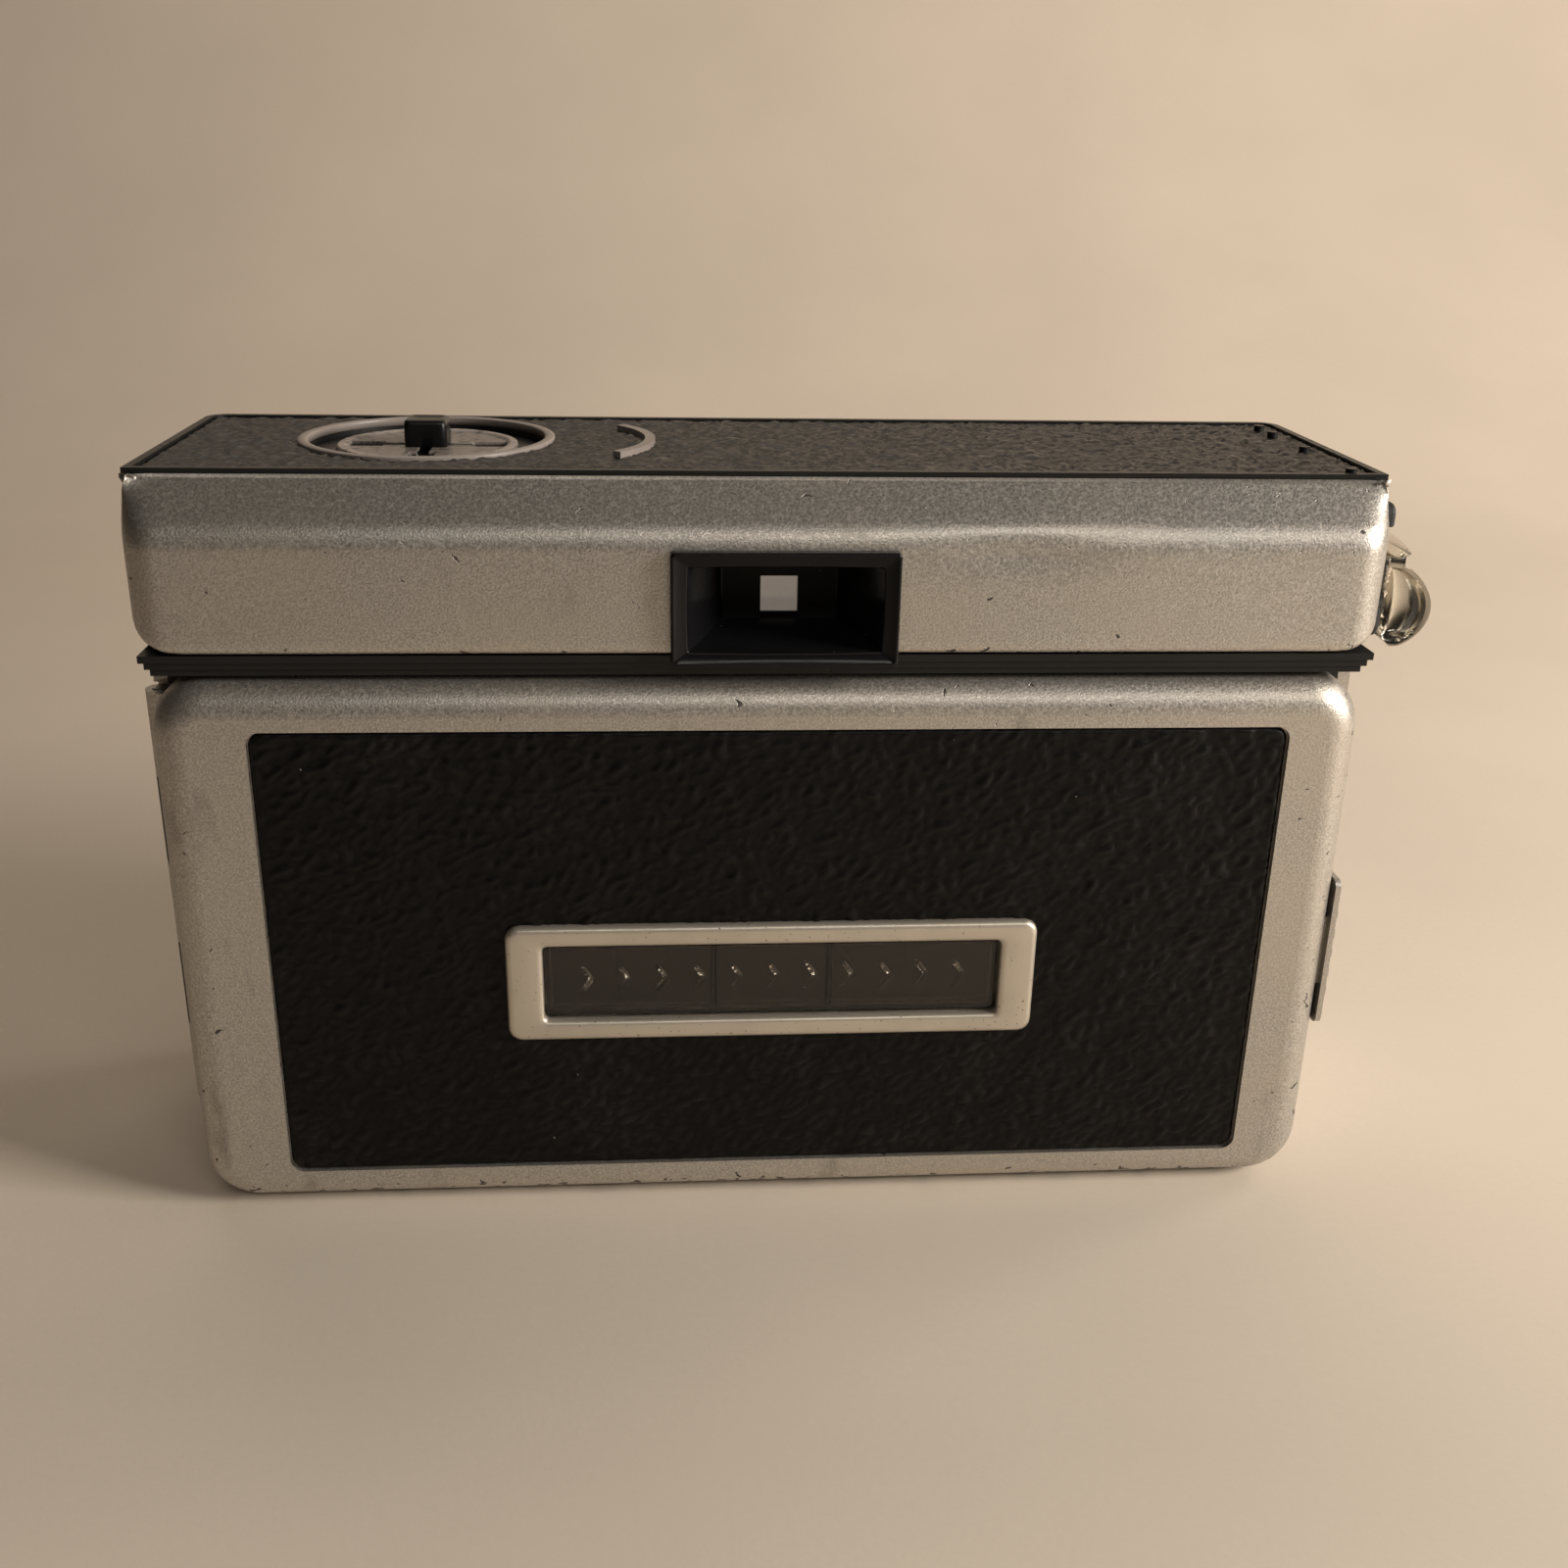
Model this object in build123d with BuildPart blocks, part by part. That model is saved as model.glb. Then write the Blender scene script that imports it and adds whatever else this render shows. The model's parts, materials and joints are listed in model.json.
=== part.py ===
from build123d import *
import os
from math import acos, atan2, cos, degrees, pi, radians, sin, sqrt, tan

# A snapshot camera for drop-in film cartridges, in millimetres. +X is the photographer's right, +Y is the way
# the lens points and +Z is up. The origin is on the flat base, half way between the door's face and the
# body's front.

# Overall sizes
WIDTH = 106.0  # across the body, without the wind lever
HEIGHT = 69.0  # base to the rim of the top
UPPER_BAND = 17.0  # height of the band above the film door
DOOR_DEPTH = 5.5  # door's face to the hinge plane
CORNER = 5.0  # corner radius of shell and door, seen from the front
ROUNDING = 3.2  # rounding of the door's rear edges
SHELL_ROUNDING = 2.0  # rounding of the shell's front edges

# Walls and clearances
SHELL_WALL = 1.2
BASE_WALL = 1.8
DOOR_WALL = 1.4
CORE_WALL = 1.3
HOUSING_WALL = 1.0
FIT = 0.15  # between pieces that are fixed in one another
RUN = 0.05  # radial, between an axle and its bearing
SLIDE = 0.3  # around a sliding piece
SEAM = 0.5  # door's edge to the shell
RIM = 0.7  # raised edge around the leatherette of the top

# Film chamber, made for a drop-in cartridge
FILM_GAP = 3.0  # hinge plane to the film
RELEASE_ROOM = 2.5  # between the chassis and the shell, for the release and its rocker
CHAMBER_LENGTH = 94.0
CHAMBER_HEIGHT = 43.0
GATE = 28.0
POCKET_DEPTH = 19.5
SUPPLY_LENGTH = 27.0
TAKE_UP_LENGTH = 30.0

# Film window in the door
WINDOW_X = 0.5
WINDOW_WIDTH = 41.5
WINDOW_HEIGHT = 7.5
BEZEL_BORDER = 3.3
BEZEL_SIDE = 1.95
BEZEL_PROUD = 0.6
LEATHER = 0.5  # thickness of the leatherette
LEATHER_BED = 0.6  # depth of the beds that it lies in

# Viewfinder
EYE_X = 0.95
EYE_WIDTH = 19.1
EYE_HEIGHT = 9.7
EYE_PROUD = 1.0
EYE_WINDOW = (3.3, 4.4)
EYE_BACK = (10.2, 5.6)  # back of the eyepiece's funnel

# Lens
LENS_HOLE = 14.6
BARREL_RADIUS = 14.2
BARREL_NOSE = 12.8
BARREL_REACH = 11.0  # barrel's front ahead of the shell
LENS_RADIUS = 5.0

# Flash socket
SOCKET_INSET = 22.5  # socket's axis from the body's left side
SOCKET_RADIUS = 10.2
SOCKET_RING = 0.9
SOCKET_GAP = 0.4  # radial, around the turntable
DISC_RADIUS = 8.2
POST_SIZE = 3.8

# Gear train: wind lever, wind gear, rack, flash pinion
MODULE = 0.5
LEVER_TEETH = 26
WIND_TEETH = 16
RACK_GEAR_TEETH = 24
PINION_TEETH = 20
BACKLASH = 0.1
LEVER_INSET = 13.0  # lever's axle from the body's right side
LEVER_REST = -23.0  # lever's angle at rest, from +X
LEVER_REACH = 21.6
PADDLE_WIDTH = 5.0
PADDLE_HEIGHT = 8.0
ARM_WIDTH = 5.0
ARM_THICK = 1.0
AXLE = 1.5

# Shutter release
RELEASE_X = 22.0
RELEASE_TRAVEL = 4.0
STRIKER_TRAVEL = 2.4

# Places that follow from the sizes above
SIDE = WIDTH / 2
DEPTH = DOOR_DEPTH + FILM_GAP + POCKET_DEPTH + CORE_WALL + RELEASE_ROOM + SHELL_WALL
REAR = -DEPTH / 2
FRONT = DEPTH / 2
HINGE_Y = REAR + DOOR_DEPTH
SHELL_REAR = HINGE_Y + SEAM
DOOR_TOP = HEIGHT - UPPER_BAND
DOOR_BOTTOM = 0.4
DOOR_SIDE = SIDE - 0.4
DOOR_INSIDE = REAR + DOOR_WALL
CHAMBER_TOP = DOOR_TOP - 4.0
CHAMBER_FLOOR = CHAMBER_TOP - CHAMBER_HEIGHT
ROOF = CHAMBER_TOP + 2.0
LENS_Z = (CHAMBER_TOP + CHAMBER_FLOOR) / 2
WINDOW_Z = LENS_Z - 2.9
FILM_PLANE = HINGE_Y + FILM_GAP
GATE_WALL = FILM_PLANE + 1.5
POCKET_FRONT = FILM_PLANE + POCKET_DEPTH
CORE_FRONT = POCKET_FRONT + CORE_WALL
CORE_SIDE = SIDE - SHELL_WALL - FIT
CORE_BOTTOM = BASE_WALL + FIT
CORE_CORNER = CORNER - SHELL_WALL - FIT
SHELL_INSIDE = FRONT - SHELL_WALL
SHELL_TOP = HEIGHT - 1.0
HOUSING_BOTTOM = DOOR_TOP + 2.4
HOUSING_BEND = HEIGHT - 4.5
HOUSING_REACH = REAR + 4.4
EYE_Z = HEIGHT - 10.55
CHAMBER_SIDE = CHAMBER_LENGTH / 2
SUPPLY_INNER = -CHAMBER_SIDE + SUPPLY_LENGTH
TAKE_UP_INNER = CHAMBER_SIDE - TAKE_UP_LENGTH
CAVITY_LEFT = SUPPLY_INNER + CORE_WALL
CAVITY_RIGHT = TAKE_UP_INNER - CORE_WALL
INSET_LEFT = -SIDE + 8.7
INSET_RIGHT = SIDE - 7.3
INSET_BOTTOM = 4.15
INSET_TOP = DOOR_TOP - 4.35

SOCKET_X = -SIDE + SOCKET_INSET
RING_RADIUS = SOCKET_RADIUS + SOCKET_GAP + SOCKET_RING
SOCKET_Y = FRONT - RIM - 0.1 - RING_RADIUS
PINION_RADIUS = MODULE * PINION_TEETH / 2
RACK_GEAR_RADIUS = MODULE * RACK_GEAR_TEETH / 2
RACK_Y = SOCKET_Y - PINION_RADIUS
LEVER_X = SIDE - LEVER_INSET
LEVER_Y = RACK_Y - 0.4
GEAR_CENTRES = MODULE * (LEVER_TEETH + WIND_TEETH) / 2
WIND_Y = RACK_Y + RACK_GEAR_RADIUS
WIND_X = LEVER_X - sqrt(GEAR_CENTRES**2 - (WIND_Y - LEVER_Y) ** 2)
# One stroke of the lever turns the flash socket by a quarter turn.
LEVER_STROKE = (pi / 2) * PINION_RADIUS / (LEVER_TEETH / WIND_TEETH * RACK_GEAR_RADIUS)
RACK_TRAVEL = (pi / 2) * PINION_RADIUS

# Levels of the mechanism under the top
COVER_UNDER = HEIGHT - 1.8
RACK_LOW = HEIGHT - 4.0
RACK_HIGH = HEIGHT - 2.8
TURNTABLE_LOW = HEIGHT - 2.1
TURNTABLE_HIGH = HEIGHT - 1.1
ARM_LOW = HEIGHT - 6.8
LEVER_GEAR_LOW = HEIGHT - 11.0
LEVER_GEAR_HIGH = HEIGHT - 9.0
HUB_LOW = HEIGHT - 12.0
HUB_HIGH = HEIGHT - 4.8
BRACKET_LOW = HEIGHT - 7.4
BRACKET_HIGH = HEIGHT - 6.2

# Hinge of the door
HINGE_X = -SIDE + 0.6
KNUCKLE = 1.2
HINGE_PIN = 0.6
HINGE_LOW = 9.6
HINGE_HIGH = DOOR_TOP - 2.0
KNUCKLES = 5


def front_plane(y):
    """A drawing plane seen from behind the camera: local x is X and local y is Z."""
    return Plane.XZ.offset(-y)


def block(x0, x1, y0, y1, z0, z1, mode=Mode.ADD):
    """A rectangular block between two corners."""
    with BuildSketch(Plane.XY.offset(z0)) as base:
        with Locations(((x0 + x1) / 2, (y0 + y1) / 2)):
            Rectangle(x1 - x0, y1 - y0)
    extrude(base.sketch, amount=z1 - z0, mode=mode)


def panel(x0, x1, z0, z1, y0, y1, corner, mode=Mode.ADD):
    """A plate facing along Y, with rounded corners."""
    with BuildSketch(front_plane(y1)) as face:
        with Locations(((x0 + x1) / 2, (z0 + z1) / 2)):
            RectangleRounded(x1 - x0, z1 - z0, corner)
    extrude(face.sketch, amount=y1 - y0, mode=mode)


def rod_z(x, y, radius, z0, z1, mode=Mode.ADD):
    """A round rod standing along Z."""
    with BuildSketch(Plane.XY.offset(z0)) as base:
        with Locations((x, y)):
            Circle(radius)
    extrude(base.sketch, amount=z1 - z0, mode=mode)


def rod_y(x, z, radius, y0, y1, mode=Mode.ADD):
    """A round rod lying along Y."""
    with BuildSketch(front_plane(y1)) as base:
        with Locations((x, z)):
            Circle(radius)
    extrude(base.sketch, amount=y1 - y0, mode=mode)


def door_form(inset, rounding, y0, y1, mode=Mode.ADD):
    """The door's solid form, set in by a wall, its four corners and its rear rim rounded."""
    with BuildPart(mode=Mode.PRIVATE) as form:
        with BuildSketch(front_plane(y1)):
            with Locations((0, (DOOR_BOTTOM + DOOR_TOP) / 2)):
                RectangleRounded(2 * (DOOR_SIDE - inset), DOOR_TOP - DOOR_BOTTOM - 2 * inset, CORNER - inset)
        extrude(amount=y1 - y0)
        fillet(form.faces().sort_by(Axis.Y)[0].edges(), rounding)
    add(form.part, mode=mode)


def housing_form(inset, mode=Mode.ADD):
    """The rear housing's form: upright face, sloping shoulder, bevelled ends and rounded lower corners."""
    rear = REAR + inset
    half = SIDE - inset
    bevel = 3.0
    with BuildPart(mode=Mode.PRIVATE) as form:
        with BuildSketch(Plane.YZ.offset(-half)):
            with BuildLine():
                Polyline(
                    (HOUSING_REACH, HOUSING_BOTTOM + inset),
                    (rear, HOUSING_BOTTOM + inset),
                    (rear, HOUSING_BEND - inset * 0.4),
                    (HOUSING_REACH, HEIGHT - 0.1 - inset * 1.4),
                    close=True,
                )
            make_face()
        extrude(amount=2 * half)
        with BuildSketch(Plane.XY.offset(HOUSING_BOTTOM)):
            Polygon(
                (-half, HOUSING_REACH),
                (-half, rear + bevel),
                (-half + bevel, rear),
                (half - bevel, rear),
                (half, rear + bevel),
                (half, HOUSING_REACH),
                align=None,
            )
        extrude(amount=HEIGHT - HOUSING_BOTTOM, mode=Mode.INTERSECT)
        with BuildSketch(front_plane(HOUSING_REACH)) as face:
            with Locations((0, (HOUSING_BOTTOM + inset + HEIGHT) / 2)):
                Rectangle(2 * half, HEIGHT - HOUSING_BOTTOM - inset)
            fillet(face.vertices().group_by(Axis.Z)[0], CORNER - inset)
        extrude(amount=HOUSING_REACH - rear, mode=Mode.INTERSECT)
    add(form.part, mode=mode)


def involute_gear(teeth, x, y, z0, z1, facing):
    """A spur gear with involute flanks; the middle of one tooth points along the angle facing, in degrees."""
    pitch_radius = MODULE * teeth / 2
    base_radius = pitch_radius * cos(radians(20))
    root = pitch_radius - 1.15 * MODULE
    tip = pitch_radius + 0.9 * MODULE
    at_pitch = pi / (2 * teeth) - BACKLASH / (2 * pitch_radius) + tan(radians(20)) - radians(20)
    radii = [max(base_radius, root) + k * (tip - max(base_radius, root)) / 4 for k in range(5)]
    flank = []
    for radius in radii:
        roll = acos(min(1.0, base_radius / radius))
        half_angle = at_pitch - (tan(roll) - roll)
        flank.append((radius * cos(half_angle), radius * sin(half_angle)))
    heel = (root * 0.97, flank[0][1] * root * 0.97 / flank[0][0])
    side = [heel] + flank
    with BuildSketch(Plane.XY.offset(z0)) as outline:
        with Locations((x, y)):
            Circle(root)
        with Locations((x, y)):
            with PolarLocations(0, teeth, start_angle=facing):
                Polygon(*side, *[(px, -py) for px, py in reversed(side)], align=None)
    extrude(outline.sketch, amount=z1 - z0)


def rack_teeth(centre, start, end):
    """Rack teeth on the rack bar's front edge, between start and end, with a gap at centre."""
    pitch = pi * MODULE
    half = pitch / 4 - BACKLASH / 2
    lean = tan(radians(20))
    low = -1.1 * MODULE
    high = 0.85 * MODULE
    first = int((start - centre) / pitch) - 1
    last = int((end - centre) / pitch) + 1
    for k in range(first, last + 1):
        middle = centre + (k + 0.5) * pitch
        if start < middle < end:
            with BuildSketch(Plane.XY.offset(RACK_LOW)) as tooth:
                Polygon(
                    (middle - half + lean * low, RACK_Y + low - 0.1),
                    (middle + half - lean * low, RACK_Y + low - 0.1),
                    (middle + half - lean * high, RACK_Y + high),
                    (middle - half + lean * high, RACK_Y + high),
                    align=None,
                )
            extrude(tooth.sketch, amount=RACK_HIGH - RACK_LOW)


os.makedirs("parts", exist_ok=True)


def finish(builder, name):
    """Label a finished piece and write it."""
    builder.part.label = name
    export_step(builder.part, f"parts/{name}.step")


# ---------------------------------------------------------------- chassis

SCREW_PLACES = [(sx * (SIDE - 9.0), y) for sx in (-1, 1) for y in (SHELL_REAR + 4.0, FRONT - 6.0)]
SCREW_RADIUS = 0.9
POST_COLUMNS = (CAVITY_LEFT + 2.5, CAVITY_RIGHT - 2.5)
POST_PLACES = [(x, z) for x in POST_COLUMNS for z in (LENS_Z - 18.0, LENS_Z + 18.5)]
POST_RADIUS = 1.9
PLATE = 0.8  # thickness of the shutter plate
SHUTTER_PLATE_Y = GATE_WALL + 12.2
BLADE_Y = SHUTTER_PLATE_Y + PLATE + 0.3
BOARD_Y = SHUTTER_PLATE_Y + PLATE + 1.0
BOARD_FRONT = BOARD_Y + 1.2
BOARD_LEFT = CAVITY_LEFT + SLIDE
BOARD_RIGHT = CAVITY_RIGHT - SLIDE
BOARD_LOW = LENS_Z - 20.0
BOARD_HIGH = LENS_Z + 20.5
ROCKER_X = -10.8
ROCKER_PIN = 0.8
ROCKER_Z = ROOF + 2.0
ROCKER_REAR = CORE_FRONT + 0.4
ROCKER_FRONT = ROCKER_REAR + 1.2
FEELER_X = 8.0
FEELER_Z = LENS_Z + GATE / 2 + 3.2
FEELER_PIN = 0.72
RIB_SIDE = SIDE - 3.0
LEDGE_PITCH = 0.64
BUSH_RADIUS = 2.6
LATCH_Z = (17.0, 32.0)
LATCH_TRAVEL = 3.0

with BuildPart() as main_body:
    with BuildSketch(front_plane(CORE_FRONT)) as core_face:
        with Locations((0, (CORE_BOTTOM + ROOF) / 2)):
            Rectangle(2 * CORE_SIDE, ROOF - CORE_BOTTOM)
        fillet(core_face.vertices().group_by(Axis.Z)[0], CORE_CORNER)
    extrude(amount=CORE_FRONT - HINGE_Y)
    # the bed of the cartridge, its two pockets and the picture gate
    block(-CHAMBER_SIDE, CHAMBER_SIDE, HINGE_Y, FILM_PLANE, CHAMBER_FLOOR, CHAMBER_TOP, Mode.SUBTRACT)
    block(-CHAMBER_SIDE, SUPPLY_INNER, HINGE_Y, POCKET_FRONT, CHAMBER_FLOOR, CHAMBER_TOP, Mode.SUBTRACT)
    block(TAKE_UP_INNER, CHAMBER_SIDE, HINGE_Y, POCKET_FRONT, CHAMBER_FLOOR, CHAMBER_TOP, Mode.SUBTRACT)
    block(CAVITY_LEFT, CAVITY_RIGHT, GATE_WALL, CORE_FRONT, CHAMBER_FLOOR, CHAMBER_TOP - 1.0, Mode.SUBTRACT)
    # light tunnel from the gate to the shutter
    for grow, mode in ((1.2, Mode.ADD), (0.0, Mode.SUBTRACT)):
        start = GATE_WALL - (1.5 if mode == Mode.SUBTRACT else 0.0)
        with BuildSketch(front_plane(start)):
            with Locations((0, LENS_Z)):
                Rectangle(GATE + 2 * grow, GATE + 2 * grow)
        with BuildSketch(front_plane(SHUTTER_PLATE_Y - 0.1)):
            with Locations((0, LENS_Z)):
                Rectangle(GATE * 0.45 + 2 * grow, GATE * 0.45 + 2 * grow)
        loft(mode=mode)
    for x, z in POST_PLACES:
        rod_y(x, z, POST_RADIUS, GATE_WALL - 0.5, SHUTTER_PLATE_Y)
    for x, z in POST_PLACES:
        rod_y(x, z, SCREW_RADIUS + 0.05, SHUTTER_PLATE_Y - 4.0, SHUTTER_PLATE_Y, Mode.SUBTRACT)
    # light trap: a rib that stands inside the closed door
    with BuildSketch(front_plane(HINGE_Y + 0.5)):
        with Locations((0, LENS_Z)):
            RectangleRounded(2 * RIB_SIDE, CHAMBER_HEIGHT + 3.4, 3.0)
            RectangleRounded(2 * RIB_SIDE - 2.0, CHAMBER_HEIGHT + 1.4, 2.0, mode=Mode.SUBTRACT)
    extrude(amount=2.8)
    # ledge above the door, stepped in three ribs
    block(-CORE_SIDE, CORE_SIDE, HINGE_Y, HINGE_Y + 1.5, ROOF - 0.5, DOOR_TOP + 2.2)
    for k in range(3):
        low = DOOR_TOP + SLIDE + LEDGE_PITCH * k
        reach = 0.9 - 0.35 * k
        half = DOOR_SIDE - reach
        block(-half, half, REAR + 0.35 + reach, HINGE_Y + 0.2, low, low + LEDGE_PITCH - 0.02)
    # ears of the rocker's pivot and seats of the springs
    block(ROCKER_X - 2.2, ROCKER_X + 2.2, CORE_FRONT - 2.0, CORE_FRONT, ROOF - 0.2, ROCKER_Z + 1.6)
    rod_y(ROCKER_X, ROCKER_Z, ROCKER_PIN + 0.02, CORE_FRONT - 2.0, CORE_FRONT, Mode.SUBTRACT)
    block(RELEASE_X - 1.6, RELEASE_X + 1.6, CORE_FRONT - 0.2, SHELL_INSIDE - 0.2, LENS_Z - 1.5, LENS_Z - 0.5)
    # bearing of the wind shaft, bores for screws, film feeler, latch and hinge
    rod_z(WIND_X, WIND_Y, BUSH_RADIUS + 0.03, CHAMBER_TOP, ROOF, Mode.SUBTRACT)
    rod_y(FEELER_X, FEELER_Z, FEELER_PIN + 0.08, FILM_PLANE, GATE_WALL, Mode.SUBTRACT)
    for x, y in SCREW_PLACES:
        rod_z(x, y, SCREW_RADIUS + 0.05, CORE_BOTTOM, CORE_BOTTOM + 2.4, Mode.SUBTRACT)
    block(SIDE - 2.9, SIDE, HINGE_Y, HINGE_Y + 2.0, LATCH_Z[0], LATCH_Z[1] - 3.0, Mode.SUBTRACT)
    block(-SIDE, HINGE_X + 2.1, HINGE_Y, HINGE_Y + 2.9, HINGE_LOW - SLIDE, HINGE_HIGH + SLIDE, Mode.SUBTRACT)
finish(main_body, "main_body")

# ---------------------------------------------------------------- shell, top and housing

SLOT_LOW = ARM_LOW - 0.7
SLOT_HIGH = ARM_LOW + ARM_THICK + 0.8
SLOT_REAR = LEVER_Y - 8.9
SLOT_FRONT = LEVER_Y + 8.9
PANEL_SIZE = (35.0, 60.4)
PANEL_THICK = 1.2
FINDER_HALF = (8.3, 5.2)  # half the finder's hole in the shell and the lens panel
OBJECTIVE = (14.6, 8.3)
OBJECTIVE_FRAME = (19.0, 12.3)


def finder_sleeve(inset, y0, y1, mode=Mode.ADD):
    """The rounded sleeve on the finder's axis, set in by a clearance."""
    half, rise = FINDER_HALF
    panel(
        EYE_X - half + inset, EYE_X + half - inset, EYE_Z - rise + inset, EYE_Z + rise - inset,
        y0, y1, 0.8 - inset, mode,
    )


with BuildPart() as front_shell:
    with BuildPart(mode=Mode.PRIVATE) as shell_form:
        with BuildSketch(front_plane(FRONT)) as shell_face:
            with Locations((0, HEIGHT / 2)):
                Rectangle(WIDTH, HEIGHT)
            fillet(shell_face.vertices().group_by(Axis.Z)[0], CORNER)
        extrude(amount=FRONT - SHELL_REAR)
        fillet(shell_form.faces().sort_by(Axis.Y)[-1].edges().sort_by(Axis.Z)[:-1], SHELL_ROUNDING)
    add(shell_form.part)
    block(-SIDE, SIDE, SHELL_REAR, FRONT, SHELL_TOP, HEIGHT, Mode.SUBTRACT)
    with BuildSketch(front_plane(SHELL_INSIDE)) as hollow:
        with Locations((0, (BASE_WALL + HEIGHT + 2) / 2)):
            Rectangle(WIDTH - 2 * SHELL_WALL, HEIGHT + 2 - BASE_WALL)
        fillet(hollow.vertices().group_by(Axis.Z)[0], CORNER - SHELL_WALL)
    extrude(amount=SHELL_INSIDE - SHELL_REAR, mode=Mode.SUBTRACT)
    rod_y(0, LENS_Z, LENS_HOLE, SHELL_INSIDE, FRONT, Mode.SUBTRACT)
    finder_sleeve(0.0, SHELL_INSIDE, FRONT, Mode.SUBTRACT)
    block(
        RELEASE_X - 1.8, RELEASE_X + 1.8, SHELL_INSIDE, FRONT,
        LENS_Z + 12.5 - RELEASE_TRAVEL - SLIDE, LENS_Z + 16.5 + SLIDE, Mode.SUBTRACT,
    )
    block(SIDE - SHELL_WALL, SIDE, SLOT_REAR, SLOT_FRONT, SLOT_LOW, SLOT_HIGH, Mode.SUBTRACT)
    block(
        -SIDE, -SIDE + SHELL_WALL, SHELL_REAR, HINGE_Y + 1.6,
        HINGE_LOW - SLIDE, HINGE_HIGH + SLIDE, Mode.SUBTRACT,
    )
    for x, y in SCREW_PLACES:
        rod_z(x, y, 2.0, 0, 1.0, Mode.SUBTRACT)
        rod_z(x, y, SCREW_RADIUS + 0.2, 1.0, BASE_WALL, Mode.SUBTRACT)
finish(front_shell, "front_shell")

with BuildPart() as rear_housing:
    housing_form(0.0)
    housing_form(HOUSING_WALL, Mode.SUBTRACT)
    block(-SIDE, SIDE, HOUSING_REACH - 0.3, HOUSING_REACH + 1, HOUSING_BOTTOM, HEIGHT, Mode.SUBTRACT)
    block(
        -SIDE + CORNER, SIDE - CORNER, REAR + HOUSING_WALL, HOUSING_REACH,
        HOUSING_BOTTOM - 1, HOUSING_BOTTOM + HOUSING_WALL + 0.1, Mode.SUBTRACT,
    )
    block(
        EYE_X - EYE_WIDTH / 2 + 0.5, EYE_X + EYE_WIDTH / 2 - 0.5, REAR - 1, REAR + HOUSING_WALL + 0.1,
        HOUSING_BOTTOM - 1, EYE_Z + 4.25, Mode.SUBTRACT,
    )
finish(rear_housing, "rear_housing")

COVER_REAR = HOUSING_REACH
STUD_RADIUS = 0.5
STUD_PLACES = [(SIDE - 2.8, y) for y in (COVER_REAR + 1.3, FRONT - 16.3, FRONT - 7.9, FRONT - 4.1)]

with BuildPart() as top_cover:
    block(
        -SIDE + SHELL_WALL + FIT, SIDE - SHELL_WALL - FIT, COVER_REAR, SHELL_INSIDE - FIT,
        COVER_UNDER, HEIGHT - RIM,
    )
    with BuildSketch(Plane.XY.offset(SHELL_TOP)) as flange:
        with Locations((0, (COVER_REAR + FRONT) / 2)):
            Rectangle(WIDTH, FRONT - COVER_REAR)
        fillet(flange.vertices().group_by(Axis.Y)[-1], SHELL_ROUNDING)
    extrude(amount=HEIGHT - SHELL_TOP)
    with BuildSketch(Plane.XY.offset(HEIGHT - LEATHER_BED)) as bed:
        with Locations((0, (COVER_REAR + FRONT) / 2)):
            Rectangle(WIDTH - 2 * RIM, FRONT - COVER_REAR - 2 * RIM)
        fillet(bed.vertices().group_by(Axis.Y)[-1], SHELL_ROUNDING - RIM)
    extrude(amount=LEATHER_BED, mode=Mode.SUBTRACT)
    # skirts that close the sides between the housing and the shell
    for s in (-1, 1):
        x0, x1 = sorted((s * (SIDE - 1.1), s * (SIDE - 0.1)))
        block(x0, x1, COVER_REAR, SHELL_REAR - 0.1, HOUSING_BOTTOM, SHELL_TOP)
    # the wind lever's slot goes on into the right-hand skirt where the lever reaches that far back
    block(SIDE - 1.3, SIDE, SLOT_REAR, SLOT_FRONT, SLOT_LOW, SLOT_HIGH, Mode.SUBTRACT)
    rod_z(SOCKET_X, SOCKET_Y, SOCKET_RADIUS + SOCKET_GAP, COVER_UNDER, HEIGHT, Mode.SUBTRACT)
    for x, y in STUD_PLACES:
        rod_z(x, y, 0.5, HEIGHT - LEATHER_BED - 0.1, HEIGHT + 0.3)
finish(top_cover, "top_cover")

ARC_X = SOCKET_X + 9.4
ARC_Y = SOCKET_Y - 1.4
ARC_RADIUS = 11.3
ARC_WIDTH = 0.9


def arc_trim(grow, z0, z1, mode=Mode.ADD):
    """The crescent trim bar beside the flash socket."""
    spread = degrees(8.4 / ARC_RADIUS)
    with BuildSketch(Plane.XY.offset(z0)) as crescent:
        with Locations((ARC_X, ARC_Y)):
            Circle(ARC_RADIUS + grow)
            Circle(ARC_RADIUS - ARC_WIDTH - grow, mode=Mode.SUBTRACT)
            reach = ARC_RADIUS + 2
            rise = reach * tan(radians(spread)) + grow
            Polygon((0, 0), (reach, -rise), (reach, rise), align=None, mode=Mode.INTERSECT)
    extrude(crescent.sketch, amount=z1 - z0, mode=mode)


with BuildPart() as top_leatherette:
    with BuildSketch(Plane.XY.offset(HEIGHT - LEATHER_BED)) as sheet:
        with Locations((0, (COVER_REAR + FRONT) / 2)):
            Rectangle(WIDTH - 2 * RIM - 0.2, FRONT - COVER_REAR - 2 * RIM - 0.2)
        fillet(sheet.vertices().group_by(Axis.Y)[-1], SHELL_ROUNDING - RIM)
    extrude(amount=LEATHER)
    rod_z(SOCKET_X, SOCKET_Y, RING_RADIUS + 0.05, HEIGHT - 1, HEIGHT, Mode.SUBTRACT)
    arc_trim(0.05, HEIGHT - 1, HEIGHT, Mode.SUBTRACT)
    for x, y in STUD_PLACES:
        rod_z(x, y, 0.6, HEIGHT - 1, HEIGHT, Mode.SUBTRACT)
finish(top_leatherette, "top_leatherette")

with BuildPart() as flash_arc:
    arc_trim(0.0, HEIGHT - LEATHER_BED, HEIGHT + 0.25)
finish(flash_arc, "flash_arc")

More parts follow.
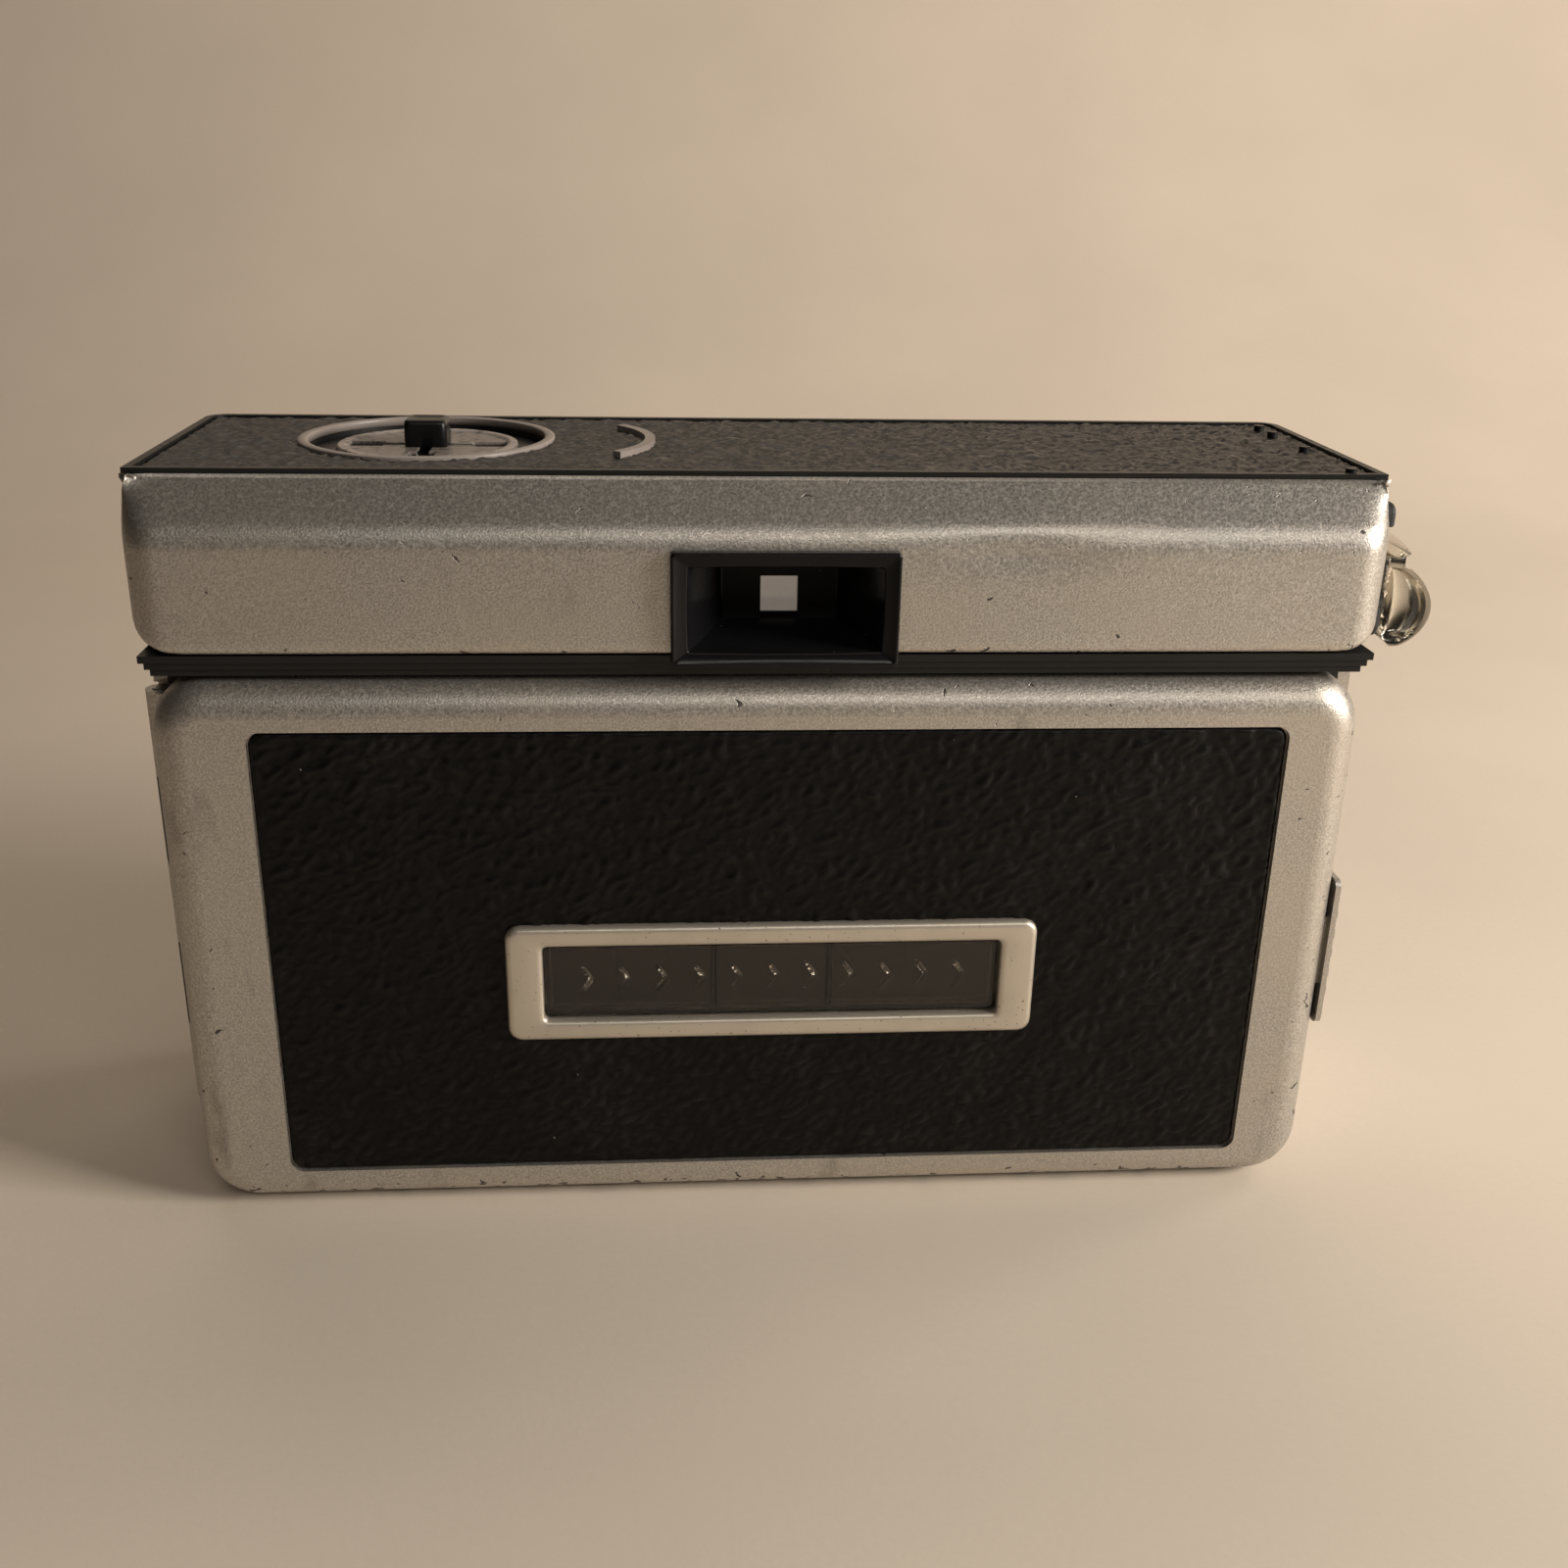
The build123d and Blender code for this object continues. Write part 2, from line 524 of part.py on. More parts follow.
with BuildPart() as flash_ring:
    rod_z(SOCKET_X, SOCKET_Y, RING_RADIUS, HEIGHT - LEATHER_BED, HEIGHT + 0.3)
    rod_z(SOCKET_X, SOCKET_Y, SOCKET_RADIUS + SOCKET_GAP, HEIGHT - LEATHER_BED, HEIGHT + 0.3, Mode.SUBTRACT)
    chamfer(flash_ring.faces().sort_by(Axis.Z)[-1].edges(), 0.2)
finish(flash_ring, "flash_ring")

LEVER_PANEL = 1.6
with BuildPart() as lever_panel:
    block(SIDE, SIDE + LEVER_PANEL, SHELL_REAR - 1.0, FRONT - 4.0, DOOR_TOP + 2.3, HEIGHT - 2.7)
    fillet(lever_panel.edges().filter_by(Axis.X), 1.0)
    block(
        SIDE, SIDE + LEVER_PANEL, SHELL_REAR - 1.0, SLOT_FRONT + 0.5,
        DOOR_TOP + 5.0, HEIGHT - 4.7, Mode.SUBTRACT,
    )
    fillet(lever_panel.faces().sort_by(Axis.X)[-1].edges(), 0.4)
finish(lever_panel, "lever_panel")

with BuildPart() as lens_panel:
    panel(
        -PANEL_SIZE[0] / 2, PANEL_SIZE[0] / 2, 6.0, 6.0 + PANEL_SIZE[1] + HEIGHT - 69.0,
        FRONT, FRONT + PANEL_THICK, 2.0,
    )
    chamfer(lens_panel.faces().sort_by(Axis.Y)[-1].edges(), 0.4)
    rod_y(0, LENS_Z, LENS_HOLE, FRONT, FRONT + PANEL_THICK, Mode.SUBTRACT)
    finder_sleeve(0.0, FRONT, FRONT + PANEL_THICK, Mode.SUBTRACT)
finish(lens_panel, "lens_panel")

GRIP_EDGE = PANEL_SIZE[0] / 2 + 1.5
for grip, x0, x1 in (
    ("front_leatherette_left", -SIDE + 4.0, -GRIP_EDGE),
    ("front_leatherette_right", RELEASE_X + 5.5, SIDE - 4.0),
):
    with BuildPart() as front_leatherette:
        panel(x0, x1, 5.0, DOOR_TOP + 10.0, FRONT, FRONT + LEATHER, 1.5)
    finish(front_leatherette, grip)

with BuildPart() as case_screws:
    for x, y in SCREW_PLACES:
        rod_z(x, y, 1.8, 0.1, 1.0)
        rod_z(x, y, SCREW_RADIUS, 1.0, CORE_BOTTOM + 2.2)
    for x, y in SCREW_PLACES:
        block(x - 1.8, x + 1.8, y - 0.2, y + 0.2, 0.1, 0.45, Mode.SUBTRACT)
finish(case_screws, "case_screws")

# ---------------------------------------------------------------- lens and shutter

LENS_AXIS = Axis((0, 0, LENS_Z), (0, 1, 0))
BARREL_FRONT = FRONT + BARREL_REACH
SEAT_Y = BOARD_FRONT + 1.9

with BuildPart() as shutter_plate:
    panel(BOARD_LEFT, BOARD_RIGHT, BOARD_LOW, BOARD_HIGH, SHUTTER_PLATE_Y, SHUTTER_PLATE_Y + PLATE, 1.5)
    rod_y(0, LENS_Z, 3.0, SHUTTER_PLATE_Y, SHUTTER_PLATE_Y + PLATE, Mode.SUBTRACT)
    for x, z in POST_PLACES:
        rod_y(x, z, SCREW_RADIUS + 0.1, SHUTTER_PLATE_Y, SHUTTER_PLATE_Y + PLATE, Mode.SUBTRACT)
finish(shutter_plate, "shutter_plate")

with BuildPart() as lens_board:
    panel(BOARD_LEFT, BOARD_RIGHT, BOARD_LOW, BOARD_HIGH, BOARD_Y, BOARD_FRONT, 1.5)
    for x, z in POST_PLACES:
        rod_y(x, z, POST_RADIUS, SHUTTER_PLATE_Y + PLATE, BOARD_Y)
    for x, z in POST_PLACES:
        rod_y(x, z, SCREW_RADIUS + 0.1, SHUTTER_PLATE_Y, BOARD_FRONT, Mode.SUBTRACT)
    rod_y(0, LENS_Z, 4.2, BOARD_Y, BOARD_FRONT, Mode.SUBTRACT)
finish(lens_board, "lens_board")

with BuildPart() as plate_screws:
    for x, z in POST_PLACES:
        rod_y(x, z, 1.7, BOARD_FRONT, BOARD_FRONT + 0.9)
        rod_y(x, z, SCREW_RADIUS, SHUTTER_PLATE_Y - 3.8, BOARD_FRONT)
    for x, z in POST_PLACES:
        block(x - 1.7, x + 1.7, BOARD_FRONT + 0.55, BOARD_FRONT + 0.9, z - 0.2, z + 0.2, Mode.SUBTRACT)
finish(plate_screws, "plate_screws")

BLADE_PIVOT = (10.0, LENS_Z + 7.5)
BLADE_THICK = 0.3
BLADE_PIN = 0.8
with BuildPart() as blade_pivot:
    rod_y(*BLADE_PIVOT, BLADE_PIN, SHUTTER_PLATE_Y + PLATE, BOARD_Y)
finish(blade_pivot, "blade_pivot")

with BuildPart() as shutter_blade:
    with BuildSketch(front_plane(BLADE_Y + BLADE_THICK)):
        with Locations(BLADE_PIVOT):
            Circle(2.4)
        with Locations((BLADE_PIVOT[0] / 2, (BLADE_PIVOT[1] + LENS_Z) / 2)):
            Circle(2.8)
        make_hull()
        with Locations((0, LENS_Z)):
            Circle(5.0)
    extrude(amount=BLADE_THICK)
    rod_y(*BLADE_PIVOT, BLADE_PIN + RUN, BLADE_Y, BLADE_Y + BLADE_THICK, Mode.SUBTRACT)
finish(shutter_blade, "shutter_blade")

with BuildPart() as lens_barrel:
    with BuildSketch(Plane.XY.offset(LENS_Z)):
        with BuildLine():
            Polyline(
                (LENS_RADIUS - 0.8, BOARD_FRONT),
                (9.0, BOARD_FRONT),
                (9.0, BOARD_FRONT + 1.5),
                (7.5, BOARD_FRONT + 1.5),
                (7.5, SHELL_INSIDE - 1.6),
                (BARREL_RADIUS, SHELL_INSIDE - 1.6),
                (BARREL_RADIUS, FRONT + 5.0),
                (BARREL_NOSE, FRONT + 5.6),
                (BARREL_NOSE, BARREL_FRONT),
                (BARREL_NOSE - 1.4, BARREL_FRONT),
                (BARREL_NOSE - 1.6, BARREL_FRONT - 1.2),
                (LENS_RADIUS + 0.4, SEAT_Y + 4.6),
                (LENS_RADIUS + 0.4, SEAT_Y + 2.6),
                (LENS_RADIUS + 0.05, SEAT_Y + 2.6),
                (LENS_RADIUS + 0.05, SEAT_Y),
                (LENS_RADIUS - 0.8, SEAT_Y),
                close=True,
            )
        make_face()
    revolve(axis=LENS_AXIS)
finish(lens_barrel, "lens_barrel")

with BuildPart() as lens_ring:
    with BuildSketch(Plane.XY.offset(LENS_Z)):
        with BuildLine():
            Polyline(
                (BARREL_NOSE - 1.4, BARREL_FRONT),
                (BARREL_NOSE + 0.3, BARREL_FRONT),
                (BARREL_NOSE + 0.3, BARREL_FRONT + 1.2),
                (BARREL_NOSE - 0.2, BARREL_FRONT + 1.8),
                (BARREL_NOSE - 0.8, BARREL_FRONT + 1.8),
                (BARREL_NOSE - 1.4, BARREL_FRONT + 1.0),
                close=True,
            )
        make_face()
    revolve(axis=LENS_AXIS)
finish(lens_ring, "lens_ring")


def dome(crown, drop):
    """The point half way out on a spherical lens face that drops from its crown by a given height."""
    ball = (LENS_RADIUS**2 + drop**2) / (2 * drop)
    half = LENS_RADIUS / 2
    return (half, crown - ball + sqrt(ball**2 - half**2))


with BuildPart() as taking_lens:
    with BuildSketch(Plane.XY.offset(LENS_Z)):
        with BuildLine():
            Line((0, SEAT_Y + 0.7), (0, SEAT_Y + 2.5))
            ThreePointArc((0, SEAT_Y + 2.5), dome(SEAT_Y + 2.5, 1.0), (LENS_RADIUS, SEAT_Y + 1.5))
            Line((LENS_RADIUS, SEAT_Y + 1.5), (LENS_RADIUS, SEAT_Y))
            ThreePointArc((LENS_RADIUS, SEAT_Y), dome(SEAT_Y + 0.7, 0.7), (0, SEAT_Y + 0.7))
        make_face()
    revolve(axis=LENS_AXIS)
finish(taking_lens, "taking_lens")

with BuildPart() as lens_retainer:
    rod_y(0, LENS_Z, LENS_RADIUS + 0.37, SEAT_Y + 2.6, SEAT_Y + 3.6)
    rod_y(0, LENS_Z, LENS_RADIUS - 1.0, SEAT_Y + 2.6, SEAT_Y + 3.6, Mode.SUBTRACT)
finish(lens_retainer, "lens_retainer")

# ---------------------------------------------------------------- viewfinder

TUNNEL_REAR = HINGE_Y + 1.8
TUNNEL_FRONT = SHELL_INSIDE - 0.4
TUNNEL_HALF = 8.15
TUNNEL_WALL = 1.0
TUNNEL_LOW = EYE_Z - 4.45
TUNNEL_HIGH = EYE_Z + 5.6
EYE_WINDOW_LOW = EYE_Z - 3.5

with BuildPart() as eyepiece_frame:
    panel(
        EYE_X - EYE_WIDTH / 2, EYE_X + EYE_WIDTH / 2, EYE_Z - EYE_HEIGHT / 2, EYE_Z + EYE_HEIGHT / 2,
        REAR - EYE_PROUD, REAR, 0.8,
    )
    chamfer(eyepiece_frame.faces().sort_by(Axis.Y)[0].edges(), 0.3)
    panel(
        EYE_X - EYE_WIDTH / 2 + 0.6, EYE_X + EYE_WIDTH / 2 - 0.6, HOUSING_BOTTOM, EYE_Z + 4.15,
        REAR - 0.1, TUNNEL_REAR, 0.6,
    )
    with BuildSketch(front_plane(REAR - EYE_PROUD)):
        with Locations((EYE_X, EYE_Z)):
            Rectangle(EYE_WIDTH - 2.6, EYE_HEIGHT - 2.3)
    with BuildSketch(front_plane(TUNNEL_REAR)):
        with Locations((EYE_X, EYE_Z - 0.6)):
            Rectangle(*EYE_BACK)
    loft(mode=Mode.SUBTRACT)
finish(eyepiece_frame, "eyepiece_frame")

with BuildPart() as viewfinder_tunnel:
    block(EYE_X - TUNNEL_HALF, EYE_X + TUNNEL_HALF, TUNNEL_REAR, TUNNEL_FRONT, TUNNEL_LOW, TUNNEL_HIGH)
    block(
        EYE_X - TUNNEL_HALF + TUNNEL_WALL, EYE_X + TUNNEL_HALF - TUNNEL_WALL, TUNNEL_REAR + TUNNEL_WALL,
        TUNNEL_FRONT, TUNNEL_LOW + TUNNEL_WALL, TUNNEL_HIGH - TUNNEL_WALL, Mode.SUBTRACT,
    )
    block(
        EYE_X - EYE_WINDOW[0] / 2, EYE_X + EYE_WINDOW[0] / 2, TUNNEL_REAR, TUNNEL_REAR + TUNNEL_WALL,
        EYE_WINDOW_LOW, EYE_WINDOW_LOW + EYE_WINDOW[1], Mode.SUBTRACT,
    )
    # rails that keep the rack bar in line, and feet on the chassis
    for y0 in (RACK_Y - 4.7, RACK_Y + 1.2):
        block(EYE_X - TUNNEL_HALF, EYE_X - TUNNEL_HALF + 4.0, y0, y0 + 1.0, TUNNEL_HIGH, RACK_HIGH)
        block(EYE_X + TUNNEL_HALF - 4.0, EYE_X + TUNNEL_HALF, y0, y0 + 1.0, TUNNEL_HIGH, RACK_HIGH)
    for y0 in (HINGE_Y + 5.0, CORE_FRONT - 6.0):
        block(EYE_X - 3.0, EYE_X + 3.0, y0, y0 + 3.0, ROOF, TUNNEL_LOW)
finish(viewfinder_tunnel, "viewfinder_tunnel")

with BuildPart() as eyepiece_lens:
    panel(
        EYE_X - 3.0, EYE_X + 3.0, EYE_Z - 3.3, EYE_Z + 3.1,
        TUNNEL_REAR + TUNNEL_WALL, TUNNEL_REAR + TUNNEL_WALL + 1.4, 0.6,
    )
finish(eyepiece_lens, "eyepiece_lens")

with BuildPart() as objective_frame:
    panel(
        EYE_X - OBJECTIVE_FRAME[0] / 2, EYE_X + OBJECTIVE_FRAME[0] / 2, EYE_Z - OBJECTIVE_FRAME[1] / 2,
        EYE_Z + OBJECTIVE_FRAME[1] / 2, FRONT + PANEL_THICK, FRONT + PANEL_THICK + 0.8, 1.0,
    )
    chamfer(objective_frame.faces().sort_by(Axis.Y)[-1].edges(), 0.3)
    finder_sleeve(0.1, SHELL_INSIDE - 0.3, FRONT + PANEL_THICK + 0.1)
    panel(
        EYE_X - OBJECTIVE[0] / 2, EYE_X + OBJECTIVE[0] / 2, EYE_Z - OBJECTIVE[1] / 2,
        EYE_Z + OBJECTIVE[1] / 2, SHELL_INSIDE - 0.3, FRONT + PANEL_THICK + 0.8, 0.6, Mode.SUBTRACT,
    )
finish(objective_frame, "objective_frame")

with BuildPart() as objective_lens:
    panel(
        EYE_X - OBJECTIVE[0] / 2 + 0.05, EYE_X + OBJECTIVE[0] / 2 - 0.05, EYE_Z - OBJECTIVE[1] / 2 + 0.05,
        EYE_Z + OBJECTIVE[1] / 2 - 0.05, SHELL_INSIDE, FRONT + PANEL_THICK - 0.2, 0.55,
    )
finish(objective_lens, "objective_lens")

# ---------------------------------------------------------------- film door

LEATHER_CORNER = 1.2

with BuildPart() as door_shell:
    door_form(0.0, ROUNDING, REAR, HINGE_Y)
    door_form(DOOR_WALL, ROUNDING - DOOR_WALL, DOOR_INSIDE, HINGE_Y, Mode.SUBTRACT)
    panel(
        INSET_LEFT, INSET_RIGHT, INSET_BOTTOM, INSET_TOP,
        REAR, REAR + LEATHER_BED, LEATHER_CORNER, Mode.SUBTRACT,
    )
    panel(
        WINDOW_X - WINDOW_WIDTH / 2 - 1.4, WINDOW_X + WINDOW_WIDTH / 2 + 1.4,
        WINDOW_Z - WINDOW_HEIGHT / 2 - 1.0, WINDOW_Z + WINDOW_HEIGHT / 2 + 1.0,
        REAR, DOOR_INSIDE, 1.0, Mode.SUBTRACT,
    )
    # slot of the latch, room for the hinge, and the door's own knuckles
    block(
        DOOR_SIDE - DOOR_WALL - 1.0, DOOR_SIDE, HINGE_Y - 3.6, HINGE_Y - 1.2,
        LATCH_Z[0] + 0.7, LATCH_Z[1] - 3.7, Mode.SUBTRACT,
    )
    block(
        -SIDE, HINGE_X + 2.2, HINGE_Y - 1.6, HINGE_Y + 1,
        HINGE_LOW - SLIDE, HINGE_HIGH + SLIDE, Mode.SUBTRACT,
    )
    step = (HINGE_HIGH - HINGE_LOW) / KNUCKLES
    for k in range(0, KNUCKLES, 2):
        z0 = HINGE_LOW + k * step + 0.1
        z1 = HINGE_LOW + (k + 1) * step - 0.1
        rod_z(HINGE_X, HINGE_Y, KNUCKLE, z0, z1)
        block(HINGE_X - 0.2, HINGE_X + 0.8, HINGE_Y - 1.8, HINGE_Y, z0, z1)
    rod_z(HINGE_X, HINGE_Y, HINGE_PIN + RUN, HINGE_LOW, HINGE_HIGH, Mode.SUBTRACT)
finish(door_shell, "door_shell")

with BuildPart() as hinge_bracket:
    block(HINGE_X + 1.4, HINGE_X + 2.0, HINGE_Y + 0.1, HINGE_Y + 2.8, HINGE_LOW, HINGE_HIGH)
    for k in range(1, KNUCKLES, 2):
        z0 = HINGE_LOW + k * step + 0.1
        z1 = HINGE_LOW + (k + 1) * step - 0.1
        rod_z(HINGE_X, HINGE_Y, KNUCKLE, z0, z1)
        block(HINGE_X, HINGE_X + 1.6, HINGE_Y + 0.2, HINGE_Y + 1.2, z0, z1)
    rod_z(HINGE_X, HINGE_Y, HINGE_PIN + 0.02, HINGE_LOW, HINGE_HIGH, Mode.SUBTRACT)
finish(hinge_bracket, "hinge_bracket")

with BuildPart() as hinge_pin:
    rod_z(HINGE_X, HINGE_Y, HINGE_PIN, HINGE_LOW, HINGE_HIGH)
finish(hinge_pin, "hinge_pin")

with BuildPart() as door_leatherette:
    panel(
        INSET_LEFT + 0.1, INSET_RIGHT - 0.1, INSET_BOTTOM + 0.1, INSET_TOP - 0.1,
        REAR + LEATHER_BED - LEATHER, REAR + LEATHER_BED, LEATHER_CORNER,
    )
    panel(
        WINDOW_X - WINDOW_WIDTH / 2 - BEZEL_BORDER - 0.1, WINDOW_X + WINDOW_WIDTH / 2 + BEZEL_BORDER + 0.1,
        WINDOW_Z - WINDOW_HEIGHT / 2 - BEZEL_SIDE - 0.1, WINDOW_Z + WINDOW_HEIGHT / 2 + BEZEL_SIDE + 0.1,
        REAR - 1, REAR + 1, 1.3, Mode.SUBTRACT,
    )
finish(door_leatherette, "door_leatherette")

with BuildPart() as window_bezel:
    panel(
        WINDOW_X - WINDOW_WIDTH / 2 - BEZEL_BORDER, WINDOW_X + WINDOW_WIDTH / 2 + BEZEL_BORDER,
        WINDOW_Z - WINDOW_HEIGHT / 2 - BEZEL_SIDE, WINDOW_Z + WINDOW_HEIGHT / 2 + BEZEL_SIDE,
        REAR - BEZEL_PROUD, REAR + LEATHER_BED, 1.2,
    )
    chamfer(window_bezel.faces().sort_by(Axis.Y)[0].edges(), 0.3)
    panel(
        WINDOW_X - WINDOW_WIDTH / 2 - 1.3, WINDOW_X + WINDOW_WIDTH / 2 + 1.3,
        WINDOW_Z - WINDOW_HEIGHT / 2 - 0.9, WINDOW_Z + WINDOW_HEIGHT / 2 + 0.9,
        REAR + LEATHER_BED - 0.1, DOOR_INSIDE, 0.9,
    )
    panel(
        WINDOW_X - WINDOW_WIDTH / 2, WINDOW_X + WINDOW_WIDTH / 2,
        WINDOW_Z - WINDOW_HEIGHT / 2, WINDOW_Z + WINDOW_HEIGHT / 2,
        REAR - BEZEL_PROUD, DOOR_INSIDE, 0.7, Mode.SUBTRACT,
    )
finish(window_bezel, "window_bezel")

with BuildPart() as window_pane:
    panel(
        WINDOW_X - WINDOW_WIDTH / 2 + 0.03, WINDOW_X + WINDOW_WIDTH / 2 - 0.03,
        WINDOW_Z - WINDOW_HEIGHT / 2 + 0.03, WINDOW_Z + WINDOW_HEIGHT / 2 - 0.03,
        REAR + 0.2, DOOR_INSIDE, 0.7,
    )
finish(window_pane, "window_pane")

SEAL_BORDER = 4.0
with BuildPart() as window_seal:
    panel(
        WINDOW_X - WINDOW_WIDTH / 2 - SEAL_BORDER, WINDOW_X + WINDOW_WIDTH / 2 + SEAL_BORDER,
        WINDOW_Z - WINDOW_HEIGHT / 2 - 3.0, WINDOW_Z + WINDOW_HEIGHT / 2 + 3.0,
        DOOR_INSIDE, DOOR_INSIDE + 1.2, 1.5,
    )
    panel(
        WINDOW_X - WINDOW_WIDTH / 2 + 0.4, WINDOW_X + WINDOW_WIDTH / 2 - 0.4,
        WINDOW_Z - WINDOW_HEIGHT / 2 + 0.4, WINDOW_Z + WINDOW_HEIGHT / 2 - 0.4,
        DOOR_INSIDE, DOOR_INSIDE + 1.2, 0.6, Mode.SUBTRACT,
    )
finish(window_seal, "window_seal")

SPRING_HALF = 7.5
SPRING_RISE = 1.9
SPRING_THICK = 0.3
SPRING_X = WINDOW_X + WINDOW_WIDTH / 2 + SEAL_BORDER + 2.75 + SPRING_HALF
with BuildPart() as cartridge_springs:
    for middle in (-SPRING_X, SPRING_X):
        inner_half = SPRING_HALF - 2 * SPRING_THICK
        crown = DOOR_INSIDE + SPRING_RISE
        with BuildSketch(Plane.XY.offset(LENS_Z - 5.0)):
            with BuildLine():
                outer = ThreePointArc(
                    (middle - SPRING_HALF, DOOR_INSIDE), (middle, crown), (middle + SPRING_HALF, DOOR_INSIDE)
                )
                inner = ThreePointArc(
                    (middle + inner_half, DOOR_INSIDE), (middle, crown - SPRING_THICK),
                    (middle - inner_half, DOOR_INSIDE),
                )
                Line(outer @ 1, inner @ 0)
                Line(inner @ 1, outer @ 0)
            make_face()
        extrude(amount=10.0)
finish(cartridge_springs, "cartridge_springs")

LATCH_INNER = DOOR_SIDE - DOOR_WALL - 0.1
with BuildPart() as door_latch:
    block(DOOR_SIDE + 0.05, DOOR_SIDE + 0.55, HINGE_Y - 4.2, HINGE_Y - 0.6, *LATCH_Z)
    fillet(door_latch.edges().filter_by(Axis.X), 0.8)
    for k in range(5):
        z0 = LATCH_Z[0] + 3.0 + 2.0 * k
        block(DOOR_SIDE + 0.3, DOOR_SIDE + 0.8, HINGE_Y - 3.8, HINGE_Y - 1.0, z0, z0 + 0.8)
    # neck through the door's slot, plate inside the door, and tongue that reaches into the chassis
    low, high = LATCH_Z
    block(LATCH_INNER - 0.4, DOOR_SIDE + 0.3, HINGE_Y - 3.3, HINGE_Y - 1.5, low + 4.0, high - 4.0)
    block(LATCH_INNER - 0.75, LATCH_INNER, HINGE_Y - 2.4, HINGE_Y - 1.0, low + 3.4, high - 3.4)
    block(LATCH_INNER - 0.7, LATCH_INNER - 0.1, HINGE_Y - 1.2, HINGE_Y + 1.7, low + 5.0, low + 10.0)
finish(door_latch, "door_latch")

# ---------------------------------------------------------------- wind lever and gears

TO_WIND = degrees(atan2(WIND_Y - LEVER_Y, WIND_X - LEVER_X))
HUB = 3.0

with BuildPart() as lever_post:
    rod_z(LEVER_X, LEVER_Y, 4.0, ROOF, ROOF + 1.0)
    rod_z(LEVER_X, LEVER_Y, 2.6, ROOF + 1.0, HUB_LOW - 0.1)
    rod_z(LEVER_X, LEVER_Y, AXLE, HUB_LOW - 0.1, HUB_HIGH + 0.1)
    rod_z(LEVER_X, LEVER_Y, 2.3, HUB_HIGH + 0.1, HUB_HIGH + 0.5)
finish(lever_post, "lever_post")

with BuildPart() as lever_gear:
    involute_gear(LEVER_TEETH, LEVER_X, LEVER_Y, LEVER_GEAR_LOW, LEVER_GEAR_HIGH, TO_WIND)
    rod_z(LEVER_X, LEVER_Y, HUB, HUB_LOW, ARM_LOW)
    rod_z(LEVER_X, LEVER_Y, HUB - 0.6, ARM_LOW, HUB_HIGH)
    rod_z(LEVER_X, LEVER_Y, AXLE + RUN, HUB_LOW, HUB_HIGH, Mode.SUBTRACT)
finish(lever_gear, "lever_gear")

REST_DIRECTION = (cos(radians(LEVER_REST)), sin(radians(LEVER_REST)), 0)
REST = Plane(origin=(LEVER_X, LEVER_Y, 0), x_dir=REST_DIRECTION, z_dir=(0, 0, 1))
PADDLE_IN = LEVER_REACH - PADDLE_WIDTH
PADDLE_TOP = ARM_LOW - 1.2
PADDLE_THICK = 2.2

with BuildPart() as wind_lever:
    with BuildSketch(REST.offset(ARM_LOW)):
        Circle(5.0)
        with Locations((PADDLE_IN / 2 - 0.4, 0)):
            Rectangle(PADDLE_IN - 0.8, ARM_WIDTH)
        with Locations((PADDLE_IN - 0.8, 0)):
            Ellipse(2.6, ARM_WIDTH / 2)
        Circle(HUB - 0.55, mode=Mode.SUBTRACT)
    extrude(amount=ARM_THICK)
    # neck under the arm's end, then a cupped thumb piece with a round outer side
    paddle_origin = REST.from_local_coords((0, PADDLE_THICK / 2, 0))
    with BuildSketch(Plane(origin=paddle_origin, x_dir=REST.x_dir, z_dir=-REST.y_dir)):
        with BuildLine():
            Polyline(
                (PADDLE_IN - 0.6, ARM_LOW + 0.4),
                (PADDLE_IN - 0.3, PADDLE_TOP - 1.0),
                (PADDLE_IN, PADDLE_TOP - PADDLE_HEIGHT + 2.2),
            )
            ThreePointArc(
                (PADDLE_IN, PADDLE_TOP - PADDLE_HEIGHT + 2.2),
                (PADDLE_IN + 1.2, PADDLE_TOP - PADDLE_HEIGHT + 0.5),
                (PADDLE_IN + 2.8, PADDLE_TOP - PADDLE_HEIGHT),
            )
            ThreePointArc(
                (PADDLE_IN + 2.8, PADDLE_TOP - PADDLE_HEIGHT),
                (LEVER_REACH, PADDLE_TOP - PADDLE_HEIGHT * 0.5),
                (PADDLE_IN + 2.6, PADDLE_TOP - 0.2),
            )
            Polyline(
                (PADDLE_IN + 2.6, PADDLE_TOP - 0.2),
                (PADDLE_IN + 1.5, ARM_LOW + 0.4),
                (PADDLE_IN - 0.6, ARM_LOW + 0.4),
            )
        make_face()
    extrude(amount=PADDLE_THICK)
finish(wind_lever, "wind_lever")

ARM_HIGH = ARM_LOW + ARM_THICK
with BuildPart() as lever_nut:
    rod_z(LEVER_X, LEVER_Y, HUB + 0.4, ARM_HIGH, ARM_HIGH + 0.6)
    rod_z(LEVER_X, LEVER_Y, HUB - 0.55, ARM_HIGH, ARM_HIGH + 0.6, Mode.SUBTRACT)
finish(lever_nut, "lever_nut")

with BuildPart() as lever_spring:
    with BuildSketch(Plane.XY.offset(ROOF + 1.6)):
        with Locations((LEVER_X, LEVER_Y)):
            Circle(3.4)
            Circle(2.8, mode=Mode.SUBTRACT)
            Polygon((0, 0), (6, -1.6), (6, 1.6), align=None, mode=Mode.SUBTRACT)
        with Locations((LEVER_X + 3.0, LEVER_Y + 2.9), (LEVER_X + 3.0, LEVER_Y - 2.9)):
            Rectangle(6.0, 0.6)
    extrude(amount=3.2)
finish(lever_spring, "lever_spring")

